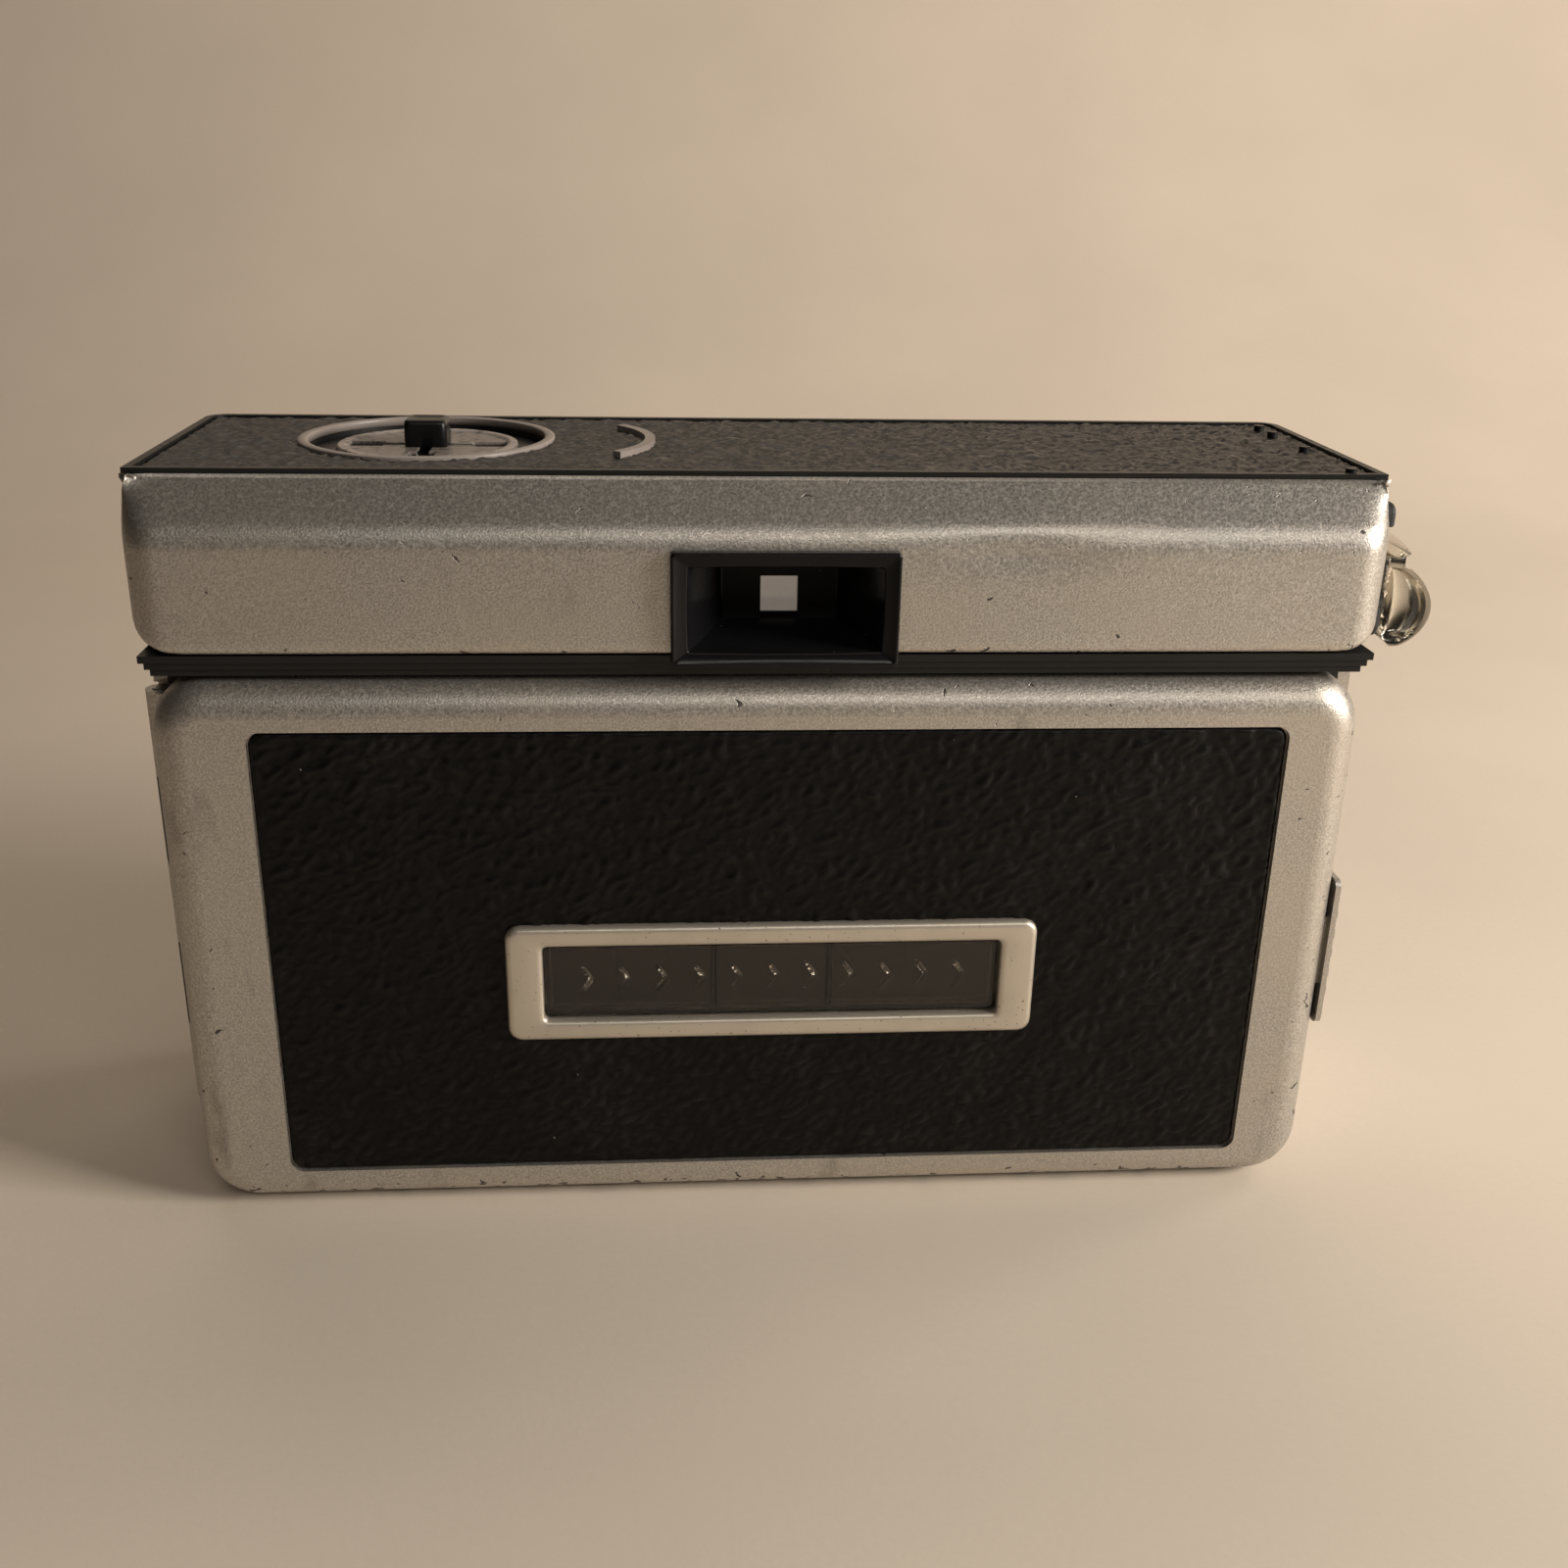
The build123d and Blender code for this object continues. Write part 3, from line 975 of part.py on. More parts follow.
with BuildPart() as wind_bush:
    rod_z(WIND_X, WIND_Y, BUSH_RADIUS, CHAMBER_TOP, ROOF)
    rod_z(WIND_X, WIND_Y, 3.6, ROOF, ROOF + 3.0)
    rod_z(WIND_X, WIND_Y, AXLE + RUN, CHAMBER_TOP, ROOF + 3.0, Mode.SUBTRACT)
finish(wind_bush, "wind_bush")

DOG_LOW = CHAMBER_TOP - 3.4
with BuildPart() as wind_shaft:
    rod_z(WIND_X, WIND_Y, AXLE, DOG_LOW, RACK_HIGH + 0.2)
    rod_z(WIND_X, WIND_Y, 3.2, DOG_LOW, DOG_LOW + 3.0)
    # three dogs that turn the cartridge's spool
    with BuildSketch(Plane.XY.offset(DOG_LOW)):
        with Locations((WIND_X, WIND_Y)):
            with PolarLocations(3.6, 3):
                Rectangle(2.0, 1.0)
    extrude(amount=3.0)
finish(wind_shaft, "wind_shaft")

WIND_FACING = TO_WIND + 180 + 180 / WIND_TEETH
with BuildPart() as wind_gear:
    involute_gear(WIND_TEETH, WIND_X, WIND_Y, LEVER_GEAR_LOW, LEVER_GEAR_HIGH, WIND_FACING)
    rod_z(WIND_X, WIND_Y, 2.5, ROOF + 3.1, RACK_LOW - 0.05)
    involute_gear(RACK_GEAR_TEETH, WIND_X, WIND_Y, RACK_LOW - 0.05, RACK_HIGH + 0.15, -90)
    rod_z(WIND_X, WIND_Y, AXLE + 0.02, ROOF + 3.1, RACK_HIGH + 0.2, Mode.SUBTRACT)
finish(wind_gear, "wind_gear")

# ---------------------------------------------------------------- flash rack and socket

RACK_BACK = RACK_Y - 3.4
with BuildPart() as flash_rack:
    root_line = RACK_Y - 1.1 * MODULE
    block(SOCKET_X - 3.0, WIND_X + RACK_TRAVEL + 3.0, RACK_BACK, root_line, RACK_LOW, RACK_HIGH)
    rack_teeth(SOCKET_X, SOCKET_X - 3.0, SOCKET_X + RACK_TRAVEL + 3.0)
    rack_teeth(WIND_X, WIND_X - 3.0, WIND_X + RACK_TRAVEL + 3.0)
finish(flash_rack, "flash_rack")

SPINDLE = 2.0
BRACKET_HALF = 10.5
BRACKET_SHEET = 1.2
BRACKET_REAR = RACK_BACK - 2.6
STRIKER_Y = SOCKET_Y + 6.4
with BuildPart() as flash_bracket:
    block(
        SOCKET_X - BRACKET_HALF, SOCKET_X + BRACKET_HALF, BRACKET_REAR, SOCKET_Y + 8.4,
        BRACKET_LOW, BRACKET_HIGH,
    )
    for x0 in (SOCKET_X - BRACKET_HALF, SOCKET_X + BRACKET_HALF - BRACKET_SHEET):
        block(x0, x0 + BRACKET_SHEET, BRACKET_REAR, SOCKET_Y + 3.0, ROOF, BRACKET_LOW)
        foot = x0 - 3.0 if x0 < SOCKET_X else x0 + BRACKET_SHEET
        block(foot, foot + 3.0, BRACKET_REAR, SOCKET_Y + 3.0, ROOF, ROOF + 1.0)
    rod_z(SOCKET_X, SOCKET_Y, SPINDLE + RUN, BRACKET_LOW, BRACKET_HIGH, Mode.SUBTRACT)
    block(
        SOCKET_X - 0.9, SOCKET_X + 0.9, STRIKER_Y - 0.8, STRIKER_Y + 0.8,
        BRACKET_LOW, BRACKET_HIGH, Mode.SUBTRACT,
    )
finish(flash_bracket, "flash_bracket")

with BuildPart() as flash_pinion:
    involute_gear(PINION_TEETH, SOCKET_X, SOCKET_Y, RACK_LOW - 0.05, RACK_HIGH + 0.15, -90)
    rod_z(SOCKET_X, SOCKET_Y, 3.0, BRACKET_HIGH + 0.1, TURNTABLE_LOW)
    rod_z(SOCKET_X, SOCKET_Y, SPINDLE, BRACKET_LOW - 0.7, BRACKET_HIGH + 0.1)
    rod_z(SOCKET_X, SOCKET_Y, SPINDLE + 0.9, BRACKET_LOW - 0.8, BRACKET_LOW - 0.1)
finish(flash_pinion, "flash_pinion")


def striker_slots(z0, z1):
    """Four slots in a cross, through which a bulb cube is struck."""
    with BuildSketch(Plane.XY.offset(z0)) as slots:
        with Locations((SOCKET_X, SOCKET_Y)):
            with PolarLocations(5.65, 4):
                Rectangle(2.9, 2.3)
    extrude(slots.sketch, amount=z1 - z0, mode=Mode.SUBTRACT)


with BuildPart() as flash_turntable:
    rod_z(SOCKET_X, SOCKET_Y, SOCKET_RADIUS, TURNTABLE_LOW, TURNTABLE_HIGH)
    striker_slots(TURNTABLE_LOW, TURNTABLE_HIGH)
finish(flash_turntable, "flash_turntable")

DISC_TOP = TURNTABLE_HIGH + 0.5
with BuildPart() as flash_disc:
    rod_z(SOCKET_X, SOCKET_Y, DISC_RADIUS, TURNTABLE_HIGH, DISC_TOP)
    chamfer(flash_disc.faces().sort_by(Axis.Z)[-1].edges(), 0.15)
    striker_slots(TURNTABLE_HIGH, DISC_TOP)
    block(
        SOCKET_X - POST_SIZE / 2 - 0.05, SOCKET_X + POST_SIZE / 2 + 0.05, SOCKET_Y - POST_SIZE / 2 - 0.05,
        SOCKET_Y + POST_SIZE / 2 + 0.05, TURNTABLE_HIGH, DISC_TOP, Mode.SUBTRACT,
    )
finish(flash_disc, "flash_disc")

with BuildPart() as flash_post:
    block(
        SOCKET_X - POST_SIZE / 2, SOCKET_X + POST_SIZE / 2, SOCKET_Y - POST_SIZE / 2,
        SOCKET_Y + POST_SIZE / 2, TURNTABLE_HIGH, HEIGHT + 1.7,
    )
    fillet(flash_post.edges().filter_by(Axis.Z), 0.6)
    fillet(flash_post.faces().sort_by(Axis.Z)[-1].edges(), 0.3)
finish(flash_post, "flash_post")

# ---------------------------------------------------------------- release, rocker and striker

RELEASE_LOW = LENS_Z + 10.0
RELEASE_HIGH = LENS_Z + 19.5
STEM_LOW = LENS_Z + 12.5
STEM_HIGH = LENS_Z + 16.5
PLATE_LOW = LENS_Z + 7.5
ROCKER_LOW = ROCKER_Z - 0.8
ROCKER_HIGH = ROCKER_Z + 0.8
ROCKER_END = RELEASE_X + 1.5
ARM_SIDE = ROCKER_END + 0.9
HOOK_LOW = ROCKER_HIGH + 0.4
PLATE_REAR = ROCKER_REAR + 0.4
PLATE_FRONT = SHELL_INSIDE - 0.2

with BuildPart() as shutter_release:
    panel(RELEASE_X - 3.5, RELEASE_X + 3.5, RELEASE_LOW, RELEASE_HIGH, FRONT + 0.4, FRONT + 3.4, 1.2)
    fillet(shutter_release.faces().sort_by(Axis.Y)[-1].edges(), 0.8)
    for k in range(4):
        z0 = RELEASE_HIGH - 2.4 - 1.4 * k
        block(RELEASE_X - 2.6, RELEASE_X + 2.6, FRONT + 3.2, FRONT + 3.7, z0, z0 + 0.7)
    block(RELEASE_X - 1.5, RELEASE_X + 1.5, PLATE_REAR + 0.5, FRONT + 0.6, STEM_LOW, STEM_HIGH)
    block(RELEASE_X - 3.0, ARM_SIDE + 2.0, PLATE_REAR, PLATE_FRONT, PLATE_LOW, ROCKER_LOW - 5.2)
    block(ARM_SIDE, ARM_SIDE + 2.0, PLATE_REAR, PLATE_FRONT, PLATE_LOW, HOOK_LOW + 1.2)
    block(RELEASE_X - 2.5, ARM_SIDE + 2.0, PLATE_REAR, PLATE_FRONT, HOOK_LOW, HOOK_LOW + 1.2)
finish(shutter_release, "shutter_release")

with BuildPart() as release_spring:
    spring_low = LENS_Z - 0.5
    spring_high = PLATE_LOW
    spring_y = (PLATE_REAR + PLATE_FRONT) / 2
    with BuildLine() as coil:
        Helix(pitch=(spring_high - spring_low - 0.4) / 7, height=spring_high - spring_low - 0.4, radius=0.62,
              center=(RELEASE_X, spring_y, spring_low + 0.2))
    with BuildSketch(Plane(origin=coil.line @ 0, z_dir=coil.line % 0)):
        Circle(0.13)
    sweep(is_frenet=True)
finish(release_spring, "release_spring")

with BuildPart() as trip_rocker:
    with BuildSketch(front_plane(ROCKER_FRONT)):
        with Locations(((SOCKET_X - 1.2 + ROCKER_END) / 2, ROCKER_Z)):
            Rectangle(ROCKER_END - SOCKET_X + 1.2, ROCKER_HIGH - ROCKER_LOW)
        with Locations((ROCKER_X, ROCKER_Z)):
            Circle(1.7)
            Circle(ROCKER_PIN + RUN, mode=Mode.SUBTRACT)
    extrude(amount=ROCKER_FRONT - ROCKER_REAR)
finish(trip_rocker, "trip_rocker")

with BuildPart() as rocker_pivot:
    rod_y(ROCKER_X, ROCKER_Z, ROCKER_PIN, CORE_FRONT - 2.0, ROCKER_FRONT + 0.1)
    rod_y(ROCKER_X, ROCKER_Z, 1.3, ROCKER_FRONT + 0.1, ROCKER_FRONT + 0.6)
finish(rocker_pivot, "rocker_pivot")

STRIKER_LOW = ROCKER_HIGH + 0.25
STRIKER_HIGH = TURNTABLE_LOW - 0.7
with BuildPart() as flash_striker:
    block(SOCKET_X - 0.6, SOCKET_X + 0.6, STRIKER_Y - 0.5, STRIKER_Y + 0.5, STRIKER_LOW, STRIKER_HIGH)
    block(SOCKET_X - 1.0, SOCKET_X + 1.0, STRIKER_Y - 0.5, ROCKER_FRONT, STRIKER_LOW, STRIKER_LOW + 1.2)
finish(flash_striker, "flash_striker")

with BuildPart() as film_feeler:
    rod_y(FEELER_X, FEELER_Z, FEELER_PIN, FILM_PLANE - 1.2, GATE_WALL + 0.9)
    rod_y(FEELER_X, FEELER_Z, 1.6, GATE_WALL + 0.2, GATE_WALL + 0.9)
finish(film_feeler, "film_feeler")
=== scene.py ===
import json
from math import cos, pi, radians, sin

import bpy
import numpy as np
from mathutils import Matrix, Vector

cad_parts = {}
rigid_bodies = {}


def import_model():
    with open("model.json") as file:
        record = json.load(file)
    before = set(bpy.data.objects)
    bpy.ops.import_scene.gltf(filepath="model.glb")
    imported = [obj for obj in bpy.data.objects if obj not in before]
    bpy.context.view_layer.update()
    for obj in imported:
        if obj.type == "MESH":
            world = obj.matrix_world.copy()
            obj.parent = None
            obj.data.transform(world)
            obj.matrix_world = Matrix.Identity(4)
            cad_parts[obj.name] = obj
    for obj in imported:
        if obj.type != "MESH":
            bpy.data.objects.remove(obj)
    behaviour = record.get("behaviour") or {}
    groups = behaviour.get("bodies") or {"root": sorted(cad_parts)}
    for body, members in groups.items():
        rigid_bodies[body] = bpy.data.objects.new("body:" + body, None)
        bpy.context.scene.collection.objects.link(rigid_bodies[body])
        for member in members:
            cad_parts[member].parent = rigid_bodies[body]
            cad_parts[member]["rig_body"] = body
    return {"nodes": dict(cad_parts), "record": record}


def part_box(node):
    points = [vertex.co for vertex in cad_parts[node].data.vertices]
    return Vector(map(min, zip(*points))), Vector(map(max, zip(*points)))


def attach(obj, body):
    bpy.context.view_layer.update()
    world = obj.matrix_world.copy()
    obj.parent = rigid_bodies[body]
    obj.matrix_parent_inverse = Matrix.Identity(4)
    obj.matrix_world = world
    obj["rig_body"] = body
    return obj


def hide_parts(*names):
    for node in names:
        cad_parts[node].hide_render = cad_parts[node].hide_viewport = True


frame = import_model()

bl_info = {
    "name": "Cartridge camera finish",
    "version": (1, 0, 0),
    "blender": (4, 5, 0),
    "location": "3D View > Sidebar > Camera",
    "description": "Shells, leatherette, lever, socket and finishes of a cartridge camera on its frame",
    "category": "Object",
}

MM = 0.001


def span(node):
    """Lowest and highest corner of a frame node, in millimetres."""
    low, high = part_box(node)
    return np.array(low) / MM, np.array(high) / MM


def middle(node):
    """The middle of a frame node, in millimetres."""
    low, high = span(node)
    return (low + high) / 2


def half_size(node):
    """Half the width, depth and height of a frame node, in millimetres."""
    low, high = span(node)
    return (high - low) / 2


BODY_HIGH = span("front_shell")[1]
HOUSING_LOW, HOUSING_HIGH = span("rear_housing")
SIDE = HOUSING_HIGH[0]
REAR = HOUSING_LOW[1]


# ---------------------------------------------------------------- sizes and colours to change


def colour_setting(name, description, default):
    return bpy.props.FloatVectorProperty(
        name=name, description=description, subtype="COLOR", size=3, min=0.0, max=1.0, default=default,
    )


def length_setting(name, description, low, high, default):
    """A length whose limits and default are given in millimetres."""
    return bpy.props.FloatProperty(
        name=name, description=description, unit="LENGTH", min=low * MM, max=high * MM, default=default * MM,
    )


def power_setting(name, description, default):
    return bpy.props.FloatProperty(name=name, description=description, unit="POWER", min=0.0, default=default)


class ShellSettings(bpy.types.PropertyGroup):
    """Painted metal of the housing, the door and the front shell."""

    silver: colour_setting("Silver", "Colour of the silver paint", (0.50, 0.475, 0.44))
    roughness: bpy.props.FloatProperty(
        name="Roughness", description="How dull the silver paint is", min=0.0, max=1.0, default=0.40,
    )
    flake: length_setting("Flake size", "Size of the paint's metal flakes", 0.05, 1.0, 0.19)
    bend_radius: length_setting(
        "Bend radius", "Rounding between the housing's face and its shoulder", 1.0, 6.0, 3.6,
    )
    end_radius: length_setting("End radius", "Rounding of the housing's upright ends", 1.0, 4.0, 3.2)
    wall: length_setting("Wall", "Thickness of the housing's sheet", 0.3, 1.2, 0.8)


class LeatherSettings(bpy.types.PropertyGroup):
    """Pebbled leatherette on the door, the top and the front."""

    colour: colour_setting("Leatherette", "Colour of the leatherette", (0.0040, 0.0037, 0.0036))
    pebble: length_setting("Pebble", "Width of one pebble of the grain", 0.3, 3.0, 0.95)
    relief: length_setting("Relief", "Depth of the creases between the pebbles", 0.0, 0.5, 0.26)
    step: length_setting("Step", "Distance between the points of the sheets", 0.2, 1.0, 0.3)


class TrimSettings(bpy.types.PropertyGroup):
    """Bright and black trim: bezel, lever, socket, viewfinder."""

    champagne: colour_setting("Champagne", "Colour of the satin bezel", (0.66, 0.60, 0.51))
    chrome: colour_setting("Chrome", "Colour of the plated lever", (0.74, 0.70, 0.62))
    gloss_black: colour_setting(
        "Gloss black", "Colour of the polished black plastic", (0.0065, 0.0065, 0.0072),
    )
    disc_grey: colour_setting("Socket grey", "Colour of the flash socket's disc", (0.25, 0.215, 0.195))
    spoon_depth: length_setting("Spoon depth", "How far the thumb piece is cupped", 0.0, 1.5, 1.1)


class StageSettings(bpy.types.PropertyGroup):
    """Floor, light and camera."""

    paper: colour_setting("Paper", "Colour of the floor and the backdrop", (0.80, 0.70, 0.585))
    key: power_setting("Key light", "Power of the light on the right", 2.2)
    ceiling: power_setting("Ceiling light", "Power of the wide light over the table", 0.45)
    front: power_setting("Front light", "Power of the light above the viewer", 0.38)
    backdrop: power_setting("Backdrop light", "Power of the light on the backdrop", 0.9)
    surround: bpy.props.FloatProperty(
        name="Surround", description="Strength of the light from all sides", min=0.0, default=0.02,
    )


# ---------------------------------------------------------------- surfaces


def quads_of(rows, columns, wrap_rows=False, wrap_columns=False, keep=None):
    """Quads between neighbours of a grid of points stored row by row; a wrapped side joins its two ends."""
    row = np.arange(rows if wrap_rows else rows - 1)[:, None]
    column = np.arange(columns if wrap_columns else columns - 1)[None, :]
    below = row * columns
    above = (row + 1) % rows * columns
    beside = (column + 1) % columns
    quads = np.stack((below + column, below + beside, above + beside, above + column), axis=-1)
    return quads[keep] if keep is not None else quads.reshape(-1, 4)


def mesh_of(name, points, quads, fans=()):
    """A mesh in metres from points in millimetres, four-sided faces and a few closing faces of any length."""
    mesh = bpy.data.meshes.new(name)
    points = np.asarray(points, float).reshape(-1, 3) * MM
    faces = [np.asarray(fan, int) for fan in fans]
    corners = np.concatenate([quads.ravel(), *faces]).astype(np.int32)
    starts = np.arange(len(quads)) * 4
    longer = np.cumsum([quads.size] + [len(face) for face in faces])[:-1]
    starts = np.concatenate([starts, longer]).astype(np.int32)
    mesh.vertices.add(len(points))
    mesh.vertices.foreach_set("co", points.ravel())
    mesh.loops.add(len(corners))
    mesh.loops.foreach_set("vertex_index", corners)
    mesh.polygons.add(len(starts))
    mesh.polygons.foreach_set("loop_start", starts)
    mesh.update(calc_edges=True)
    mesh.validate()
    mesh.polygons.foreach_set("use_smooth", np.ones(len(mesh.polygons), bool))
    return mesh


def loose_points_removed(points, quads):
    """Only the points that the quads use, the quads counted anew, and which points were kept."""
    used = np.unique(quads)
    points = points.reshape(-1, 3)
    place = np.zeros(len(points), int)
    place[used] = np.arange(len(used))
    return points[used], place[quads], used


def add_piece(name, mesh, node, finish, shares=None):
    """Puts a mesh in the scene in place of a frame node, on that node's body, with its finish."""
    piece = bpy.data.objects.new(name, mesh)
    bpy.context.scene.collection.objects.link(piece)
    mesh.materials.append(finish)
    for key, values in (shares or {}).items():
        attribute = mesh.attributes.new(key, "FLOAT", "POINT")
        attribute.data.foreach_set("value", np.asarray(values, np.float32).ravel())
    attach(piece, frame["nodes"][node]["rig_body"])
    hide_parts(node)
    return piece


def finish_nodes(names, material):
    """Gives frame nodes a finish in place of their plain one."""
    for name in names:
        mesh = frame["nodes"][name].data
        mesh.materials.clear()
        mesh.materials.append(material)


def thicken(piece, wall, outwards=-1.0):
    """A wall behind a sheet, grown to its inner side, or to both sides where outwards is 0."""
    modifier = piece.modifiers.new("Wall", "SOLIDIFY")
    modifier.thickness = wall
    modifier.offset = outwards
    modifier.use_even_offset = False


def soften(piece, width, segments=2, angle=35.0):
    """Small rounded edges wherever two faces meet at more than the given angle, and smooth shading."""
    modifier = piece.modifiers.new("Edges", "BEVEL")
    modifier.width = width
    modifier.segments = segments
    modifier.limit_method = "ANGLE"
    modifier.angle_limit = radians(angle)
    modifier.harden_normals = True


def rounded_loop(half_width, half_height, radius, bow=0.0, corner_points=7, side_points=9):
    """Points round a rectangle with rounded corners, anticlockwise; bow swells the straight sides outwards.
    Each corner is a quarter circle of the radius, and each side a line bent by half a cosine wave."""
    turn = np.linspace(0.0, pi / 2, corner_points)
    along = np.linspace(0.0, 1.0, side_points + 2)[1:-1]
    loop = []
    for quarter in range(4):
        cx, cz = ((1, 1), (-1, 1), (-1, -1), (1, -1))[quarter]
        angle = turn + quarter * pi / 2
        x = cx * (half_width - radius) + radius * np.cos(angle)
        z = cz * (half_height - radius) + radius * np.sin(angle)
        corner = np.stack((x, z), axis=-1)
        start = corner[-1]
        outward = np.array(((0, 1), (-1, 0), (0, -1), (1, 0))[quarter], float)
        run = (2 * (half_width - radius), 2 * (half_height - radius))[quarter % 2]
        direction = np.array(((-1, 0), (0, -1), (1, 0), (0, 1))[quarter], float)
        swell = bow * np.sin(pi * along)[:, None] * outward
        side = start + along[:, None] * run * direction + swell
        loop += [corner, side]
    return np.concatenate(loop)


def loft_y(levels):
    """Rounded loops stacked along Y, each given as (middle x, middle z, half width, half height, radius, y,
    bow)."""
    rings = []
    for cx, cz, half_width, half_height, radius, y, bow in levels:
        loop = rounded_loop(half_width, half_height, radius, bow)
        ring = np.stack((cx + loop[:, 0], np.full(len(loop), y), cz + loop[:, 1]), axis=-1)
        rings.append(ring)
    return np.array(rings)


def spun(profile, centre, axis, segments, waves=None):
    """A profile of (radius, distance along the axis) turned round it. waves(angle, profile) is added to the
    radius."""
    angle = np.linspace(0.0, 2 * pi, segments, endpoint=False)[None, :]
    profile = np.asarray(profile, float)
    radius = profile[:, 0][:, None] + (waves(angle, profile) if waves else 0.0)
    along = profile[:, 1][:, None] + 0.0 * angle
    x, over = centre[0] + radius * np.cos(angle), radius * np.sin(angle)
    if axis == "Y":
        return np.stack((x, along, centre[1] - over), axis=-1)
    return np.stack((x, centre[1] + over, along), axis=-1)


def gradient_noise(x, y, seed):
    """Smooth noise from -1 to 1: random slopes on a square lattice, blended by a quintic between corners."""
    slopes = np.random.default_rng(seed).random((128, 128)) * 2 * pi
    column, row = np.floor(x).astype(int), np.floor(y).astype(int)
    across, up = x - column, y - row

    def corner(right, top):
        slope = slopes[(column + right) % 128, (row + top) % 128]
        return np.cos(slope) * (across - right) + np.sin(slope) * (up - top)

    ease_x = across**3 * (across * (across * 6 - 15) + 10)
    ease_y = up**3 * (up * (up * 6 - 15) + 10)
    low = corner(0, 0) + ease_x * (corner(1, 0) - corner(0, 0))
    high = corner(0, 1) + ease_x * (corner(1, 1) - corner(0, 1))
    return 1.4 * (low + ease_y * (high - low))


def pebbles(x, y, size, seed, slant=28.0):
    """Leather grain from 0 in a crease to 1 on a pebble: the size of noise whose zero lines are the creases,
    drawn out along a slanting direction, on coordinates that coarser noise has pushed about."""
    turn = radians(slant)
    along = (x * cos(turn) + y * sin(turn)) / (size * 1.45)
    over = (-x * sin(turn) + y * cos(turn)) / (size * 0.8)
    push = 0.55 * gradient_noise(along * 0.5, over * 0.5, seed + 1)
    shift = 0.55 * gradient_noise(along * 0.5 + 40.0, over * 0.5, seed + 2)
    coarse = np.abs(gradient_noise(along + push, over + shift, seed + 3))
    fine = np.abs(gradient_noise(2.1 * along - shift, 2.1 * over + push, seed + 4))
    return np.clip(2.0 * coarse**0.85 * (0.65 + 0.35 * np.sqrt(fine)), 0.0, 1.2)


def smooth_step(value, start, end):
    """0 before start, 1 after end, and a cubic ease between."""
    share = np.clip((value - start) / (end - start), 0.0, 1.0)
    return share * share * (3 - 2 * share)


# ---------------------------------------------------------------- finishes


class Value:
    """A shader socket in an expression: each operator adds the Math node that works it out."""

    def __init__(self, finish, socket):
        self.finish = finish
        self.socket = socket

    def math(self, operation, *others, clamp=False):
        settings = {"operation": operation, "use_clamp": clamp}
        sockets = {0: self, **{k + 1: other for k, other in enumerate(others)}}
        return self.finish.node("ShaderNodeMath", settings, sockets)

    def __add__(self, other):
        return self.math("ADD", other)

    __radd__ = __add__

    def __sub__(self, other):
        return self.math("SUBTRACT", other)

    def __rsub__(self, other):
        return self.math("MULTIPLY_ADD", -1.0, other)

    def __mul__(self, other):
        return self.math("MULTIPLY", other)

    __rmul__ = __mul__

    def held(self):
        """The value kept between 0 and 1."""
        return self.math("ADD", 0.0, clamp=True)

    def past(self, edge, width):
        """0 below the edge, rising to 1 over the width."""
        return ((self - edge) * (1.0 / width)).held()


class Finish:
    """One material: a Principled surface and the nodes that feed it."""

    def __init__(self, name, **constants):
        self.material = bpy.data.materials.new(name)
        self.material.use_nodes = True
        self.tree = self.material.node_tree
        self.tree.nodes.clear()
        self.surface = self.tree.nodes.new("ShaderNodeBsdfPrincipled")
        output = self.tree.nodes.new("ShaderNodeOutputMaterial")
        self.tree.links.new(self.surface.outputs[0], output.inputs[0])
        self.place = self.node("ShaderNodeTexCoord", output="Object")
        self.set(**constants)

    def set(self, **inputs):
        """Sets inputs of the surface by name, an underscore standing for a space."""
        for key, value in inputs.items():
            self.feed(self.surface.inputs[key.replace("_", " ")], value)

    def feed(self, socket, value):
        if isinstance(value, Value):
            self.tree.links.new(value.socket, socket)
        elif hasattr(value, "__len__") and socket.type == "RGBA":
            socket.default_value = (*value[:3], 1.0)
        else:
            socket.default_value = value

    def node(self, kind, settings=None, sockets=None, output=0):
        """Adds a node: its settings first, then the values or links of its sockets; returns one output."""
        node = self.tree.nodes.new(kind)
        for key, value in (settings or {}).items():
            setattr(node, key, value)
        for key, value in (sockets or {}).items():
            self.feed(node.inputs[key], value)
        return Value(self, node.outputs[output])

    def axes(self):
        """The three object coordinates, in millimetres."""
        split = self.node("ShaderNodeSeparateXYZ", sockets={0: self.place})
        sockets = split.socket.node.outputs
        return [Value(self, sockets[k]) * 1000.0 for k in range(3)]

    def noise(self, size, detail=2.0, stretch=(1.0, 1.0, 1.0), distortion=0.0):
        """Noise from 0 to 1 whose features are about the given size, in millimetres."""
        scale = tuple(s / (size * MM) for s in stretch)
        point = self.node("ShaderNodeMapping", sockets={0: self.place, "Scale": scale})
        sockets = {"Vector": point, "Scale": 1.0, "Detail": detail, "Distortion": distortion}
        return self.node("ShaderNodeTexNoise", sockets=sockets)

    def cells(self, size, randomness=1.0):
        """Distance to the nearest of scattered points about the given size apart, in millimetres."""
        sockets = {"Vector": self.place, "Scale": 1.0 / (size * MM), "Randomness": randomness}
        return self.node("ShaderNodeTexVoronoi", sockets=sockets)

    def share(self, name):
        """A value stored on the points of the piece."""
        return self.node("ShaderNodeAttribute", {"attribute_name": name}, output="Fac")

    def mix(self, factor, first, second):
        """Blends two colours."""
        return self.node("ShaderNodeMix", {"data_type": "RGBA"}, {0: factor, 6: first, 7: second}, output=2)

    def bump(self, height, distance, strength=1.0):
        """Sets the surface's bump from a height, whose full step is a distance in millimetres."""
        sockets = {"Height": height, "Distance": distance * MM, "Strength": strength}
        self.set(Normal=self.node("ShaderNodeBump", sockets=sockets))


